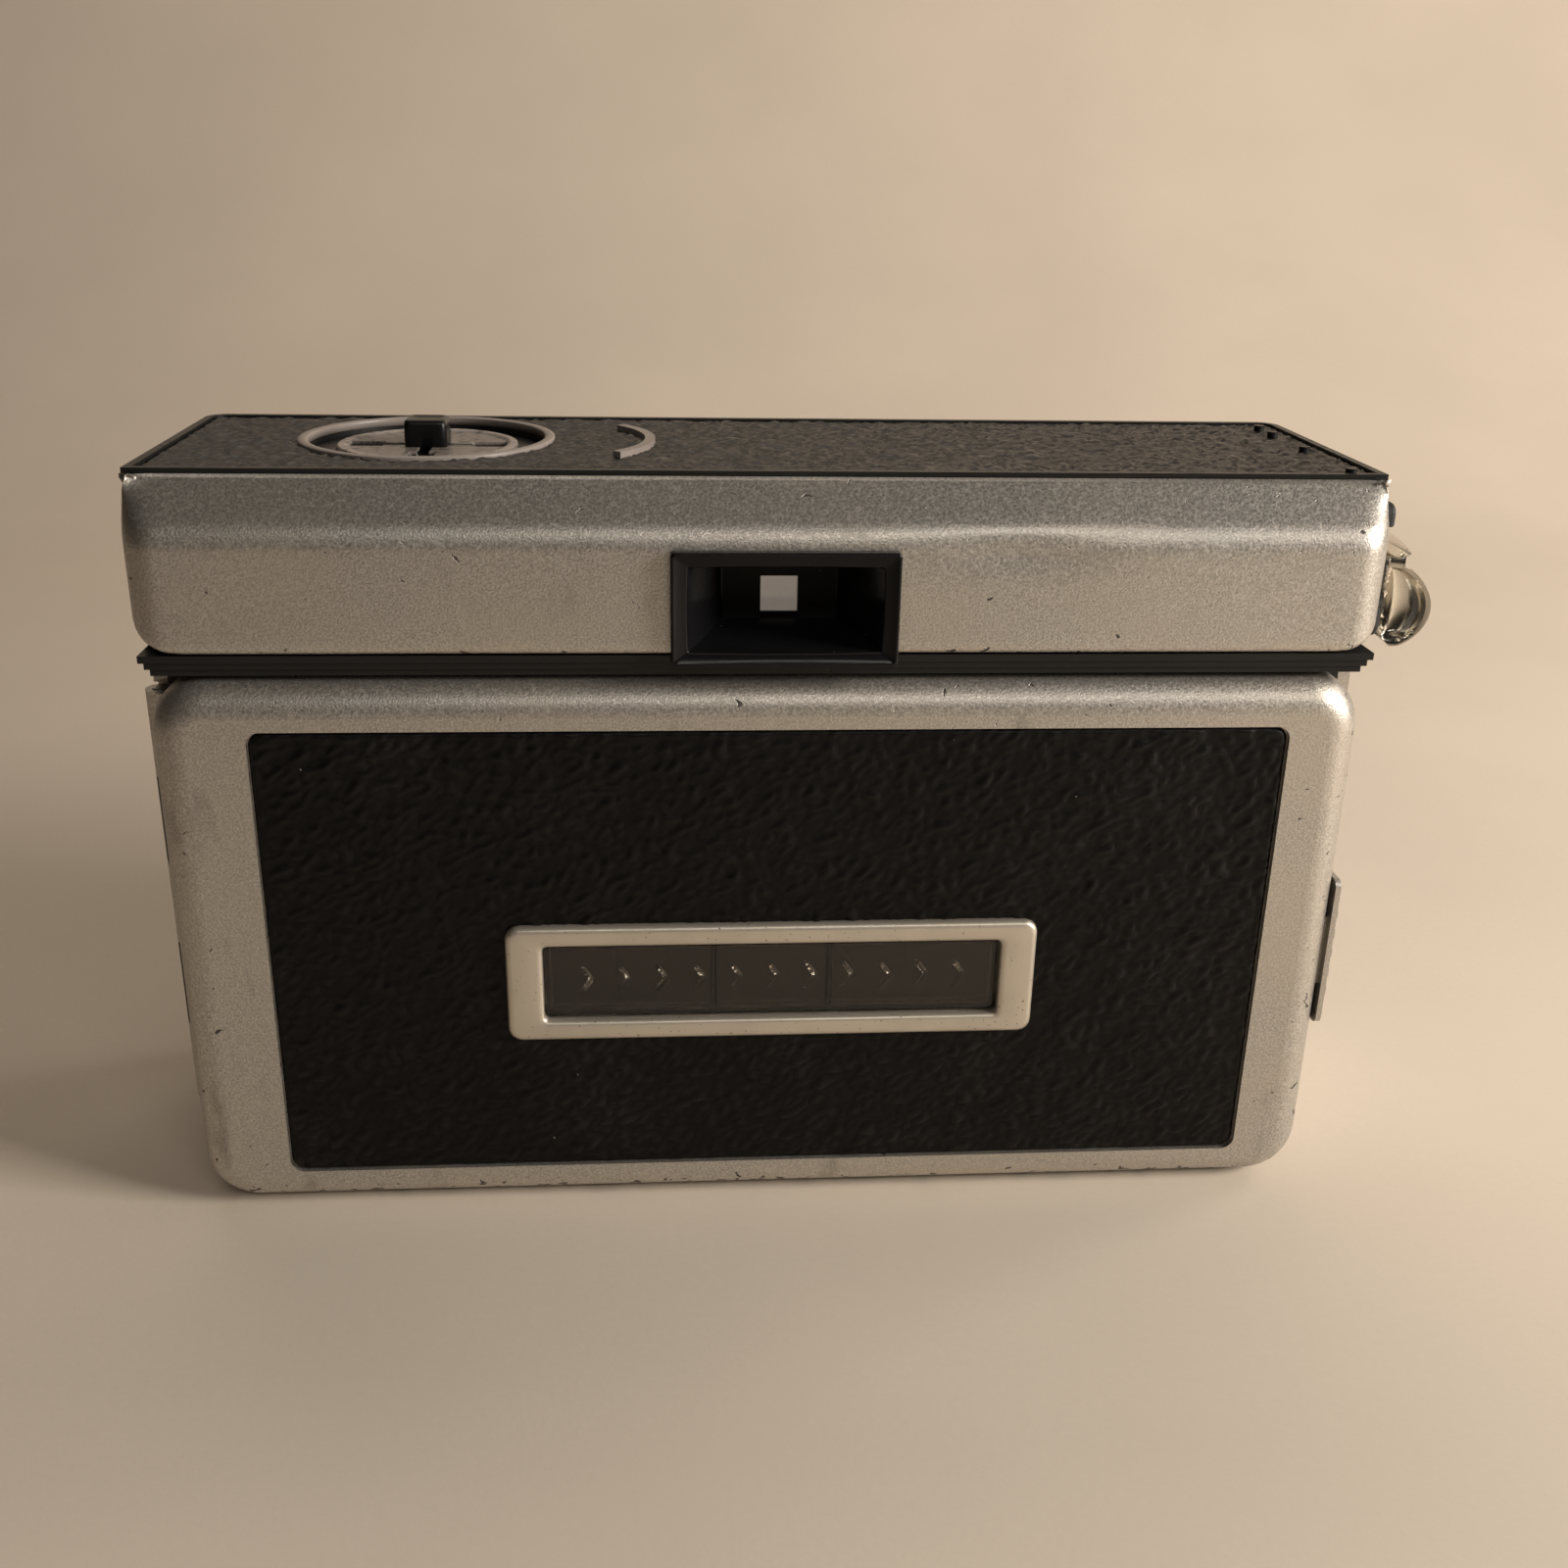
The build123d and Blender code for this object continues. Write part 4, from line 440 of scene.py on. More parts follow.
def tinted(colour, factor):
    """A colour made darker or lighter."""
    return tuple(min(1.0, part * factor) for part in colour[:3])


def silver_paint(name, settings, worn):
    """Silver lacquer with metal flakes, faint clouds, and dark chips where worn(x, y, z) is more than 0."""
    made = Finish(name, Coat_Weight=0.10, Coat_Roughness=0.35)
    x, y, z = made.axes()
    flake = made.noise(settings.flake / MM, detail=1.0)
    sparkle = made.cells(settings.flake / MM * 1.7)
    cloud = made.noise(14.0, detail=3.0)
    silver = tuple(settings.silver)
    light = made.mix((flake * 2.6 - 0.8).held(), tinted(silver, 0.76), tinted(silver, 1.26))
    toned = made.mix(cloud.past(0.35, 0.4), light, made.mix(0.5, light, tinted((0.60, 0.54, 0.46), 0.95)))
    chip = made.noise(1.1, detail=4.0, distortion=0.6)
    mask = (chip + worn(x, y, z) * 0.16).past(0.70, 0.03)
    rub = made.noise(3.0, detail=5.0, stretch=(1.0, 1.0, 0.35))
    grime = (rub + worn(x, y, z) * 0.10).past(0.62, 0.12) * 0.35
    dulled = made.mix(grime, toned, (0.20, 0.175, 0.15))
    made.set(Base_Color=made.mix(mask, dulled, (0.060, 0.050, 0.045)))
    made.set(Metallic=0.82 - mask * 0.6)
    rough = settings.roughness + (sparkle - 0.4) * 0.22 + grime * 0.3 + mask * 0.2
    made.set(Roughness=rough.held())
    made.bump(flake + chip * 0.3 - mask * 1.5, 0.04, 0.6)
    return made.material


def leatherette(settings, name, shine):
    """Black coated cloth: slightly shiny pebbles, duller creases, a painted highlight on the pebble tops and
    painted shade in the creases, a very fine tooth and a little dust.
    """
    made = Finish(name, Specular_IOR_Level=shine)
    tooth = made.noise(0.14, detail=3.0)
    cloud = made.noise(11.0, detail=2.0)
    raised = made.share("pebble")
    black = tuple(settings.colour)
    # painted highlight and shade: the pebble tops are painted lighter and the creases darker
    base = made.mix(raised, tinted(black, 0.1), tinted(black, 1.3))
    worn = made.mix((cloud.past(0.5, 0.3) * raised * 0.35), base, (0.030, 0.028, 0.026))
    dust = made.cells(4.2).math("LESS_THAN", 0.022) * 0.5
    made.set(Base_Color=made.mix(dust, worn, (0.40, 0.38, 0.36)))
    made.set(Roughness=(0.50 - raised * 0.16 + (tooth - 0.5) * 0.2).held())
    made.bump(tooth, 0.03, 0.5)
    return made.material


def black_plastic(name, colour, roughness, scuffs, dust=0.020, shine=0.28):
    """Moulded black plastic: faint scuffs in its gloss, a slight orange peel and a few specks of dust."""
    made = Finish(name, Specular_IOR_Level=shine)
    cloud = made.noise(6.0, detail=4.0)
    scratch = made.noise(0.5, detail=5.0, stretch=(0.12, 1.0, 1.0))
    peel = made.noise(0.8, detail=2.0)
    specks = made.cells(2.6).math("LESS_THAN", dust)
    base = made.mix(cloud, tinted(colour, 0.8), tinted(colour, 1.5))
    made.set(Base_Color=made.mix(specks * 0.6, base, (0.30, 0.28, 0.27)))
    rough = roughness + scratch.past(0.5, 0.3) * scuffs + specks * 0.4
    made.set(Roughness=rough.held())
    made.bump(peel * 0.6 + scratch * 0.4, 0.012, 0.5)
    return made.material


def bright_metal(
    name, colour, roughness, grain=0.4, stretch=(1.0, 1.0, 1.0), pits=0.0, bump=0.006, metal=1.0,
):
    """Bare or plated metal with a brushed or polished grain, faint tarnish and small pits."""
    made = Finish(name, Metallic=metal)
    lines = made.noise(grain, detail=4.0, stretch=stretch)
    tarnish = made.noise(5.0, detail=4.0)
    pit = made.noise(0.35, detail=2.0).past(0.68, 0.05) * pits
    base = made.mix(tarnish.past(0.45, 0.35) * 0.5, colour, tinted(colour, 0.72))
    made.set(Base_Color=made.mix(pit, base, tinted(colour, 0.25)))
    rough = roughness + (lines - 0.5) * 0.18 + tarnish.past(0.5, 0.3) * 0.08 + pit * 0.25
    made.set(Roughness=rough.held())
    made.bump(lines - pit, bump, 0.6)
    return made.material


def clear_plastic(name, tint, roughness, transmission=1.0):
    """Clear moulded plastic or glass with faint haze."""
    made = Finish(name, Transmission_Weight=transmission, IOR=1.49, Base_Color=tint)
    haze = made.noise(3.5, detail=4.0)
    made.set(Roughness=(haze.past(0.4, 0.4) * 0.08 + roughness).held())
    made.bump(made.noise(2.2, detail=1.0), 0.01, 0.2)
    return made.material


def grey_plastic(name, colour, roughness=0.45):
    """Moulded grey plastic with a fine sandy texture."""
    made = Finish(name)
    sand = made.noise(0.22, detail=3.0)
    cloud = made.noise(7.0, detail=2.0)
    made.set(Base_Color=made.mix(cloud, tinted(colour, 0.85), tinted(colour, 1.15)))
    made.set(Roughness=(roughness + (sand - 0.5) * 0.2).held())
    made.bump(sand, 0.02, 0.5)
    return made.material


def foam(name):
    """Open black foam of the light seal."""
    made = Finish(name, Roughness=0.95, Sheen_Weight=0.3)
    pores = made.cells(0.45)
    # painted shade: the hollows of the pores are painted darker than the walls between them
    made.set(Base_Color=made.mix(pores.past(0.1, 0.5), (0.004, 0.004, 0.004), (0.020, 0.019, 0.018)))
    made.bump(pores, 0.15, 0.8)
    return made.material


# ---------------------------------------------------------------- housing


def housing_points(shell):
    """The housing's sheet. One way round it runs along the left side, the rear face and the right side; the
    other way it climbs from a turned-in lower lip up the face, round the bend and up the sloping shoulder.
    A point is the plan path pulled in by the climb's depth, more at the rear than at the sides."""
    end = shell.end_radius / MM
    bend = shell.bend_radius / MM
    top = HOUSING_HIGH[2]
    slope_depth = HOUSING_HIGH[1] - REAR
    eye_low, eye_high = span("eyepiece_frame")
    notch = (eye_low[0] + 0.5, eye_high[0] - 0.5)
    turn = np.linspace(0.0, pi / 2, 10)
    straight = np.union1d(np.linspace(-SIDE + end, SIDE - end, 90), notch)
    side_y = np.linspace(HOUSING_HIGH[1], REAR + end, 4)[:-1]
    left = np.stack((np.full(len(side_y), -SIDE), side_y), axis=-1)
    left_turn = np.stack((-SIDE + end - end * np.cos(turn), REAR + end - end * np.sin(turn)), axis=-1)
    rear = np.stack((straight[1:-1], np.full(len(straight) - 2, REAR)), axis=-1)
    right_turn = left_turn[::-1] * (-1, 1)
    right = left[::-1] * (-1, 1)
    plan = np.concatenate((left, left_turn, rear, right_turn, right))
    normal = np.zeros_like(plan)
    flat_end = len(left)
    turned_end = flat_end + len(turn)
    normal[:flat_end] = (-1, 0)
    normal[flat_end:turned_end] = np.stack((-np.cos(turn), -np.sin(turn)), axis=-1)
    normal[turned_end:-turned_end] = (0, -1)
    normal[-turned_end:] = normal[:turned_end][::-1] * (-1, 1)

    # climb: depth in from the rear, height above the lower edge's rounding
    edge = 0.6
    lip = np.linspace(0.0, pi / 2, 5)
    quarter = np.linspace(0.0, pi / 4, 12)
    slope_start = top - slope_depth
    arc_start = slope_start - bend * np.tan(pi / 8)
    arc_depth = bend * (1 - np.cos(quarter))
    arc_height = arc_start + bend * np.sin(quarter)
    eye_top = eye_high[2] - 0.6
    low = HOUSING_LOW[2]
    face_height = np.union1d(np.linspace(low + edge, arc_start, 16), (eye_top,))
    slope_share = np.linspace(0.0, 1.0, 9)[1:]
    slope = slope_share * (top - arc_height[-1])
    lip_depth, lip_height = edge * (1 - np.sin(lip)), low + edge * (1 - np.cos(lip))
    depth = np.concatenate((lip_depth, 0 * face_height[1:], arc_depth[1:], arc_depth[-1] + slope))
    height = np.concatenate((lip_height, face_height[1:], arc_height[1:], arc_height[-1] + slope))

    # lower corners: the edge rises towards the ends as a quarter circle does
    corner = 4.2
    past = np.clip(np.abs(plan[:, 0]) - (SIDE - corner), 0.0, corner)
    lift = corner - np.sqrt(corner**2 - past**2)
    lift = np.where(np.abs(plan[:, 0]) > SIDE - 0.01, corner, lift) * 0.75
    fade = 1 - smooth_step(height, low + edge, arc_start)

    side_depth = 0.10 * depth + 0.25 * smooth_step(height, top - 1.2, top)
    weight = np.abs(normal)
    pull = weight[None, :, 0] * side_depth[:, None], weight[None, :, 1] * depth[:, None]
    x = plan[None, :, 0] - np.sign(normal[None, :, 0]) * pull[0]
    y = plan[None, :, 1] + pull[1]
    z = height[:, None] + lift[None, :] * fade[:, None]

    # a shallow dent under the bend, a softer one beside it and the slight waves of pressed sheet
    dent = 0.34 * np.exp(-(((x - 20.5) / 7.0) ** 2) - ((z - 63.2) / 1.5) ** 2)
    dent += 0.12 * np.exp(-(((x - 29.0) / 5.0) ** 2) - ((z - 64.6) / 1.2) ** 2)
    waves = 0.05 * gradient_noise(x / 17.0, z / 6.0, 71) * smooth_step(depth[:, None] + 0 * x, -1, 0.01)
    y = y + (dent + waves * np.abs(normal[None, :, 1])) * (np.abs(normal[None, :, 1]) > 0.99)

    points = np.stack((x, y, z), axis=-1)
    across = (plan[:-1, 0] + plan[1:, 0]) / 2
    up = (height[:-1] + height[1:]) / 2
    in_notch = (across > notch[0]) & (across < notch[1]) & (np.abs(plan[:-1, 1] - REAR) < 0.01)
    keep = ~(in_notch[None, :] & (up < eye_top)[:, None])
    return points, keep


def worn_housing(x, y, z):
    """Wear along the housing's lower edge, at its right end and along the shoulder's bend."""
    low = (HOUSING_LOW[2] + 1.0 - z).past(0.0, 0.8)
    right = x.past(SIDE - 12.0, 9.0) * (z.past(61.0, 1.5))
    return low * 0.45 + right * 0.22


def worn_door(x, y, z):
    """Wear along the door's lower edge and its right side."""
    foot = (3.2 - z).past(0.0, 2.2)
    right = x.past(SIDE - 4.0, 3.0) * 0.30
    return foot * 0.95 + right


def worn_front(x, y, z):
    """Light wear around the foot of the front shell."""
    return (2.5 - z).past(0.0, 2.5) * 0.7


class CAMERA_OT_shells(bpy.types.Operator):
    """Silver housing, door and front shell"""

    bl_idname = "camera_finish.shells"
    bl_label = "Build shells"

    def execute(self, context):
        shell = context.scene.shell_settings
        points, keep = housing_points(shell)
        quads = quads_of(*points.shape[:2], keep=keep)
        points, quads, _ = loose_points_removed(points, quads)
        mesh = mesh_of("housing", points, quads)
        paint = silver_paint("housing_silver", shell, worn_housing)
        piece = add_piece("housing", mesh, "rear_housing", paint)
        thicken(piece, shell.wall)
        finish_nodes(("door_shell",), silver_paint("door_silver", shell, worn_door))
        finish_nodes(("front_shell",), silver_paint("shell_silver", shell, worn_front))
        return {"FINISHED"}


# ---------------------------------------------------------------- leatherette


def rounded_patch(half_u, half_v, radius, step):
    """A grid of points filling a rounded rectangle, with how far each is from its edge. Each corner square
    of the grid is pressed into a quarter circle: a point keeps its larger coordinate as its radius."""
    u = np.linspace(-half_u, half_u, int(2 * half_u / step) + 1)
    v = np.linspace(-half_v, half_v, int(2 * half_v / step) + 1)
    u, v = np.meshgrid(u, v)
    inside = np.minimum(half_u - np.abs(u), half_v - np.abs(v))
    past_u = np.clip(np.abs(u) - (half_u - radius), 0.0, None)
    past_v = np.clip(np.abs(v) - (half_v - radius), 0.0, None)
    reach = np.hypot(past_u, past_v)
    ratio = np.maximum(past_u, past_v) / np.where(reach > 0, reach, 1.0)
    u = np.where(reach > 0, np.sign(u) * (np.abs(u) - past_u * (1 - ratio)), u)
    v = np.where(reach > 0, np.sign(v) * (np.abs(v) - past_v * (1 - ratio)), v)
    return u, v, inside


def leather_sheet(context, name, node, up, radius, seed, hole=None, faces=1.0, shine=0.20):
    """A sheet of leatherette over a frame node. Its height is the node's outer face, less the creases between
    the pebbles and a rounded edge; up is the axis it faces, and hole(u, v) is true where it is cut away."""
    leather = context.scene.leather_settings
    low, high = span(node)
    across = 0
    along = 1 if up == 2 else 2
    centre, half = middle(node), half_size(node)
    u, v, inside = rounded_patch(half[across], half[along], radius, leather.step / MM)
    grain = pebbles(u, v, leather.pebble / MM, seed)
    edge = 0.35
    drop = edge - np.sqrt(np.clip(edge**2 - np.clip(edge - inside, 0.0, edge) ** 2, 0.0, None))
    calm = smooth_step(inside, 0.0, 0.5)
    height = -leather.relief / MM * (1 - grain) * calm - drop
    outer = high[up] if faces > 0 else low[up]
    points = np.zeros((*u.shape, 3))
    points[..., across] = centre[across] + u
    points[..., along] = centre[along] + v
    points[..., up] = outer + faces * height
    keep = None
    if hole is not None:
        centre_u = (points[:-1, :-1, across] + points[1:, 1:, across]) / 2
        centre_v = (points[:-1, :-1, along] + points[1:, 1:, along]) / 2
        keep = ~hole(centre_u, centre_v)
    quads = quads_of(*u.shape, keep=keep)
    if (up == 1) == (faces > 0):
        quads = quads[:, ::-1]
    points, quads, used = loose_points_removed(points, quads)
    mesh = mesh_of(name, points, quads)
    finish = leatherette(leather, name + "_cloth", shine)
    shares = {"pebble": np.clip(grain * calm, 0.0, 1.0).ravel()[used]}
    piece = add_piece(name, mesh, node, finish, shares)
    thicken(piece, 0.28 * MM)
    return piece


class CAMERA_OT_leather(bpy.types.Operator):
    """Leatherette on the door, the top and the front"""

    bl_idname = "camera_finish.leather"
    bl_label = "Build leatherette"

    def execute(self, context):
        bezel_low, bezel_high = span("window_bezel")
        ring = middle("flash_ring")
        ring_radius = half_size("flash_ring")[0] - 0.4

        def under_bezel(x, z):
            inside_x = (x > bezel_low[0] + 0.35) & (x < bezel_high[0] - 0.35)
            return inside_x & (z > bezel_low[2] + 0.35) & (z < bezel_high[2] - 0.35)

        def under_ring(x, y):
            return np.hypot(x - ring[0], y - ring[1]) < ring_radius

        leather_sheet(context, "door_leather", "door_leatherette", 1, 1.2, 11, under_bezel, -1.0)
        leather_sheet(context, "top_leather", "top_leatherette", 2, 0.8, 23, under_ring, shine=0.7)
        leather_sheet(context, "front_grip_left", "front_leatherette_left", 1, 1.5, 37)
        leather_sheet(context, "front_grip_right", "front_leatherette_right", 1, 1.5, 41)
        return {"FINISHED"}


# ---------------------------------------------------------------- viewfinder


WINDOW_HALF, WINDOW_TALL = 1.65, 2.2  # half width and half height of the small window, in millimetres
WINDOW_DROP = 1.3  # how far its middle is below the eyepiece's


def eyepiece_levels():
    """Loops of the eyepiece from its seat on the housing, over the rounded rim, down the funnel to its back
    wall, across a stepped frame and into the small window."""
    tunnel = span("viewfinder_tunnel")[0][1]
    cx, _, cz = middle("eyepiece_frame")
    half, _, tall = half_size("eyepiece_frame")
    face = span("eyepiece_frame")[0][1]
    funnel_z = (cz + middle("eyepiece_lens")[2]) / 2 - 0.2
    window_mid = cz - WINDOW_DROP
    rim = (
        (0.0, 0.0, 0.45, REAR + 0.6, 0.0), (0.0, 0.0, 0.45, face + 0.22, 0.0),
        (0.05, 0.05, 0.42, face + 0.06, 0.0), (0.16, 0.16, 0.35, face, 0.0),
        (0.30, 0.30, 0.30, face + 0.02, 0.02), (0.36, 0.36, 0.30, face + 0.10, 0.04),
        (1.30, 1.12, 0.20, face + 0.10, 0.10), (1.42, 1.24, 0.16, face + 0.16, 0.10),
        (1.46, 1.28, 0.14, face + 0.30, 0.10),
    )
    window = (
        (0.1, 0.95, 0.42, 0.15, 0.01), (0.1, 0.90, 0.37, 0.15, 0.35), (0.0, 0.10, 0.10, 0.12, 0.36),
        (0.0, 0.0, 0.0, 0.10, 0.45), (0.0, 0.0, 0.0, 0.10, 1.0),
    )
    return [
        *((cx, cz, half - inset, tall - inset_z, radius, y, bow) for inset, inset_z, radius, y, bow in rim),
        (cx, funnel_z, 5.2, 2.85, 0.2, tunnel - 0.12, 0.0),
        (cx, funnel_z, 5.0, 2.7, 0.2, tunnel, 0.0),
        *((cx, window_mid + raised, WINDOW_HALF + more, WINDOW_TALL + taller, radius, tunnel + depth, 0.0)
          for raised, more, taller, radius, depth in window),
    ]


def finder_glow():
    """The finder's glass, made to glow though it is no lamp: a painted bright view of a pale room in its
    upper part, and painted shade under it.
    """
    made = Finish("finder_glass", Roughness=0.12, Emission_Strength=0.42, Coat_Weight=0.6)
    z = made.axes()[2]
    window_top = middle("eyepiece_frame")[2] - WINDOW_DROP + WINDOW_TALL
    # painted glow: above this height the glass emits a painted view of a lit room; below it the glass is
    # painted near black as painted shade
    lit = z.past(window_top - 3.45, 0.12)
    haze = made.noise(1.1, detail=3.0)
    dust = made.cells(0.9).math("LESS_THAN", 0.05) * 0.5
    pale = made.mix(haze, (0.33, 0.28, 0.235), (0.42, 0.365, 0.31))
    painted_view = made.mix((lit - dust * lit * 0.6).held(), (0.002, 0.002, 0.002), pale)
    made.set(Base_Color=painted_view, Emission_Color=painted_view)
    return made.material


class CAMERA_OT_viewfinder(bpy.types.Operator):
    """Eyepiece with its funnel, glass, tunnel and front objective"""

    bl_idname = "camera_finish.viewfinder"
    bl_label = "Build viewfinder"

    def execute(self, context):
        trim = context.scene.trim_settings
        points = loft_y(eyepiece_levels())
        mesh = mesh_of("eyepiece", points, quads_of(*points.shape[:2], wrap_columns=True))
        gloss = black_plastic("gloss_black", tuple(trim.gloss_black), 0.16, 0.15, shine=0.16)
        piece = add_piece("eyepiece", mesh, "eyepiece_frame", gloss)
        thicken(piece, 0.12 * MM)
        finish_nodes(("viewfinder_tunnel",), black_plastic("tunnel_black", (0.006, 0.006, 0.006), 0.6, 0.1))
        finish_nodes(("eyepiece_lens",), finder_glow())
        finish_nodes(("objective_lens",), clear_plastic("objective_clear", (0.92, 0.95, 0.93), 0.01))
        return {"FINISHED"}


# ---------------------------------------------------------------- film window


def bezel_levels():
    """Loops round the film window's frame: outer wall, rounded rim, flat face, bevel and inner wall."""
    cx, _, cz = middle("window_bezel")
    half, _, tall = half_size("window_bezel")
    inner, _, inner_tall = half_size("window_pane") + 0.03
    face = span("window_bezel")[0][1]
    outer_rim = ((0.0, 1.3, 1.1), (0.0, 1.3, 0.55), (0.10, 1.2, 0.22), (0.32, 1.1, 0.06), (0.62, 0.9, 0.0))
    inner_rim = (
        (0.55, 0.45, 0.7, 0.02), (0.18, 0.18, 0.6, 0.10), (0.04, 0.04, 0.55, 0.28), (0.0, 0.0, 0.55, 1.9),
    )
    return [
        *((cx, cz, half - inset, tall - inset, radius, face + depth, 0.0)
          for inset, radius, depth in outer_rim),
        *((cx, cz, inner + more, inner_tall + taller, radius, face + depth, 0.0)
          for more, taller, radius, depth in inner_rim),
    ]


def pane_points():
    """The clear pane as a sheet: flat, rolled over at its rim, with two fine upright score lines and a row of
    raised chevrons that point the way the film runs. Its height is the sum of these small forms."""
    cx, _, cz = middle("window_pane")
    half, _, tall = half_size("window_pane")
    face = span("window_pane")[0][1] + 0.02
    u, v, inside = rounded_patch(half, tall, 0.6, 0.11)
    rim = 0.30 * (1 - smooth_step(inside, 0.0, 0.38)) ** 2
    score = sum(np.exp(-(((u - place) / 0.07) ** 2)) for place in (-5.4, 5.2))
    marks = 0.0
    for place in np.arange(-17.0, 18.0, 3.4):
        if abs(abs(place) - 5.3) > 1.2:
            lean = np.abs(u - place - 0.55 + 0.9 * np.abs(v / 1.3)) / 0.20
            marks = marks + np.exp(-(lean**2)) * (1 - smooth_step(np.abs(v), 1.15, 1.45))
    height = 0.10 * np.clip(marks, 0, 1) - 0.05 * score - rim
    return np.stack((cx + u, face - height, cz + v), axis=-1)


class CAMERA_OT_film_window(bpy.types.Operator):
    """Champagne bezel and the clear pane of the film window"""

    bl_idname = "camera_finish.film_window"
    bl_label = "Build film window"

    def execute(self, context):
        trim = context.scene.trim_settings
        points = loft_y(bezel_levels())
        quads = quads_of(*points.shape[:2], wrap_rows=True, wrap_columns=True)
        satin = bright_metal(
            "champagne_satin", tuple(trim.champagne), 0.40, grain=0.16, pits=0.8, bump=0.012, metal=0.75,
        )
        add_piece("bezel", mesh_of("bezel", points, quads), "window_bezel", satin)
        points = pane_points()
        mesh = mesh_of("pane", points, quads_of(*points.shape[:2]))
        smoked = clear_plastic("pane_clear", (0.62, 0.58, 0.53), 0.04)
        piece = add_piece("pane", mesh, "window_pane", smoked)
        thicken(piece, 0.9 * MM)
        return {"FINISHED"}


# ---------------------------------------------------------------- wind lever


LEVER_REACH = 21.6  # from the pivot to the thumb piece's outer edge, in millimetres
EYE_RADIUS = 5.0  # the arm's round eye on the pivot
ARM_HALF = 2.5  # half the arm's width
ARM_STRAIGHT, ARM_END = 15.8, 19.3  # where the arm's edges stop being parallel, and where it ends


def lever_frame():
    """The lever's pivot, its direction at rest, and its lowest and highest corner."""
    hub = middle("lever_post")
    low, high = span("wind_lever")
    tip = np.array((high[0], low[1])) - hub[:2]
    return hub, np.arctan2(tip[1], tip[0]), low, high


def lever_point(hub, angle, along, over, height):
    """A point given along the lever, across it and in height."""
    x = hub[0] + along * cos(angle) - over * sin(angle)
    y = hub[1] + along * sin(angle) + over * cos(angle)
    return np.stack(np.broadcast_arrays(x, y, height), axis=-1)


def arm_points(hub, angle, top):
    """The lever's arm: a strip with parallel edges, a half-round end that droops and a round eye on the
    pivot. Rows run from one edge to the other; the half width follows the eye's circle, then the strip, then
    the end."""
    rounding = (ARM_END - ARM_STRAIGHT) * np.sin(np.linspace(0.08, pi / 2, 12))
    along = np.concatenate((
        np.linspace(-EYE_RADIUS, EYE_RADIUS, 24), np.linspace(5.5, ARM_STRAIGHT, 14), ARM_STRAIGHT + rounding,
    ))
    eye = np.sqrt(np.clip(EYE_RADIUS**2 - np.clip(along, None, EYE_RADIUS) ** 2, 0.0, None))
    past = np.clip(along - ARM_STRAIGHT, 0.0, None) / (ARM_END - ARM_STRAIGHT)
    strip = ARM_HALF * np.sqrt(np.clip(1 - past**2, 0.0, 1.0))
    half = np.maximum(np.where(along < 4.4, eye, 0.0), np.where(along > 0.0, strip, 0.0)) + 0.02
    share = np.linspace(-1.0, 1.0, 13)[:, None]
    crown = 0.10 * (1 - share**4) - 0.10
    droop = 1.7 * np.clip((along - 15.2) / 4.1, 0.0, 1.0) ** 2
    height = top + crown - droop[None, :]
    return lever_point(hub, angle, along[None, :] + 0 * share, share * half[None, :], height)


def spoon_points(hub, angle, low, high, depth):
    """The thumb piece and its neck as one sheet over (distance from its inner edge, height). The inner edge
    is straight and cut off at the foot; the outer edge bulges by a sine and then narrows to the neck, which
    curls over to the arm. Along the inner edge runs a flat band, and beside it the sheet is pressed into a
    bowl."""
    share = np.linspace(0.0, 1.0, 34)[None, :]
    climb = np.linspace(0.0, 1.0, 64)[:, None]
    inner = 2.0 * np.clip(1 - climb / 0.20, 0.0, 1.0) ** 1.3
    bulge = np.sin(pi * np.clip(climb / 0.84, 0.0, 1.0)) ** 0.62
    outer = 2.3 + 2.7 * bulge
    wide = outer - inner
    from_edge = inner + share * wide
    in_bowl = np.clip((from_edge - 1.0) / np.maximum(outer - 1.35, 0.2), 0.0, 1.0)
    cup = np.sin(pi * in_bowl) ** 0.55 * bulge**0.8 * smooth_step(climb, 0.02, 0.14)
    band = 0.22 * np.clip(1 - from_edge / 1.0, 0.0, 1.0)
    curl = smooth_step(climb, 0.86, 1.0)
    over = -0.85 + band + (depth + 0.15) * cup + 0.8 * curl**2
    height = low[2] + 0.1 + climb * (high[2] - 1.5 - low[2]) + 0 * share
    along = LEVER_REACH - 5.0 + from_edge
    return lever_point(hub, angle, along, over, height)


class CAMERA_OT_wind_lever(bpy.types.Operator):
    """Chromed wind lever with its cupped thumb piece"""

    bl_idname = "camera_finish.wind_lever"
    bl_label = "Build wind lever"

    def execute(self, context):
        trim = context.scene.trim_settings
        hub, angle, low, high = lever_frame()
        chrome = bright_metal("lever_chrome", tuple(trim.chrome), 0.17, grain=0.5, pits=0.5, bump=0.010)
        arm = arm_points(hub, angle, high[2])
        spoon = spoon_points(hub, angle, low, high, trim.spoon_depth / MM)
        for name, points, wall, outwards, edge, segments in (
            ("lever_arm", arm, 0.8, -1.0, 0.18, 2), ("lever_spoon", spoon, 0.5, 0.0, 0.16, 3),
        ):
            mesh = mesh_of(name, points, quads_of(*points.shape[:2]))
            piece = add_piece(name, mesh, "wind_lever", chrome)
            thicken(piece, wall * MM, outwards)
            soften(piece, edge * MM, segments)
        return {"FINISHED"}


# ---------------------------------------------------------------- flash socket


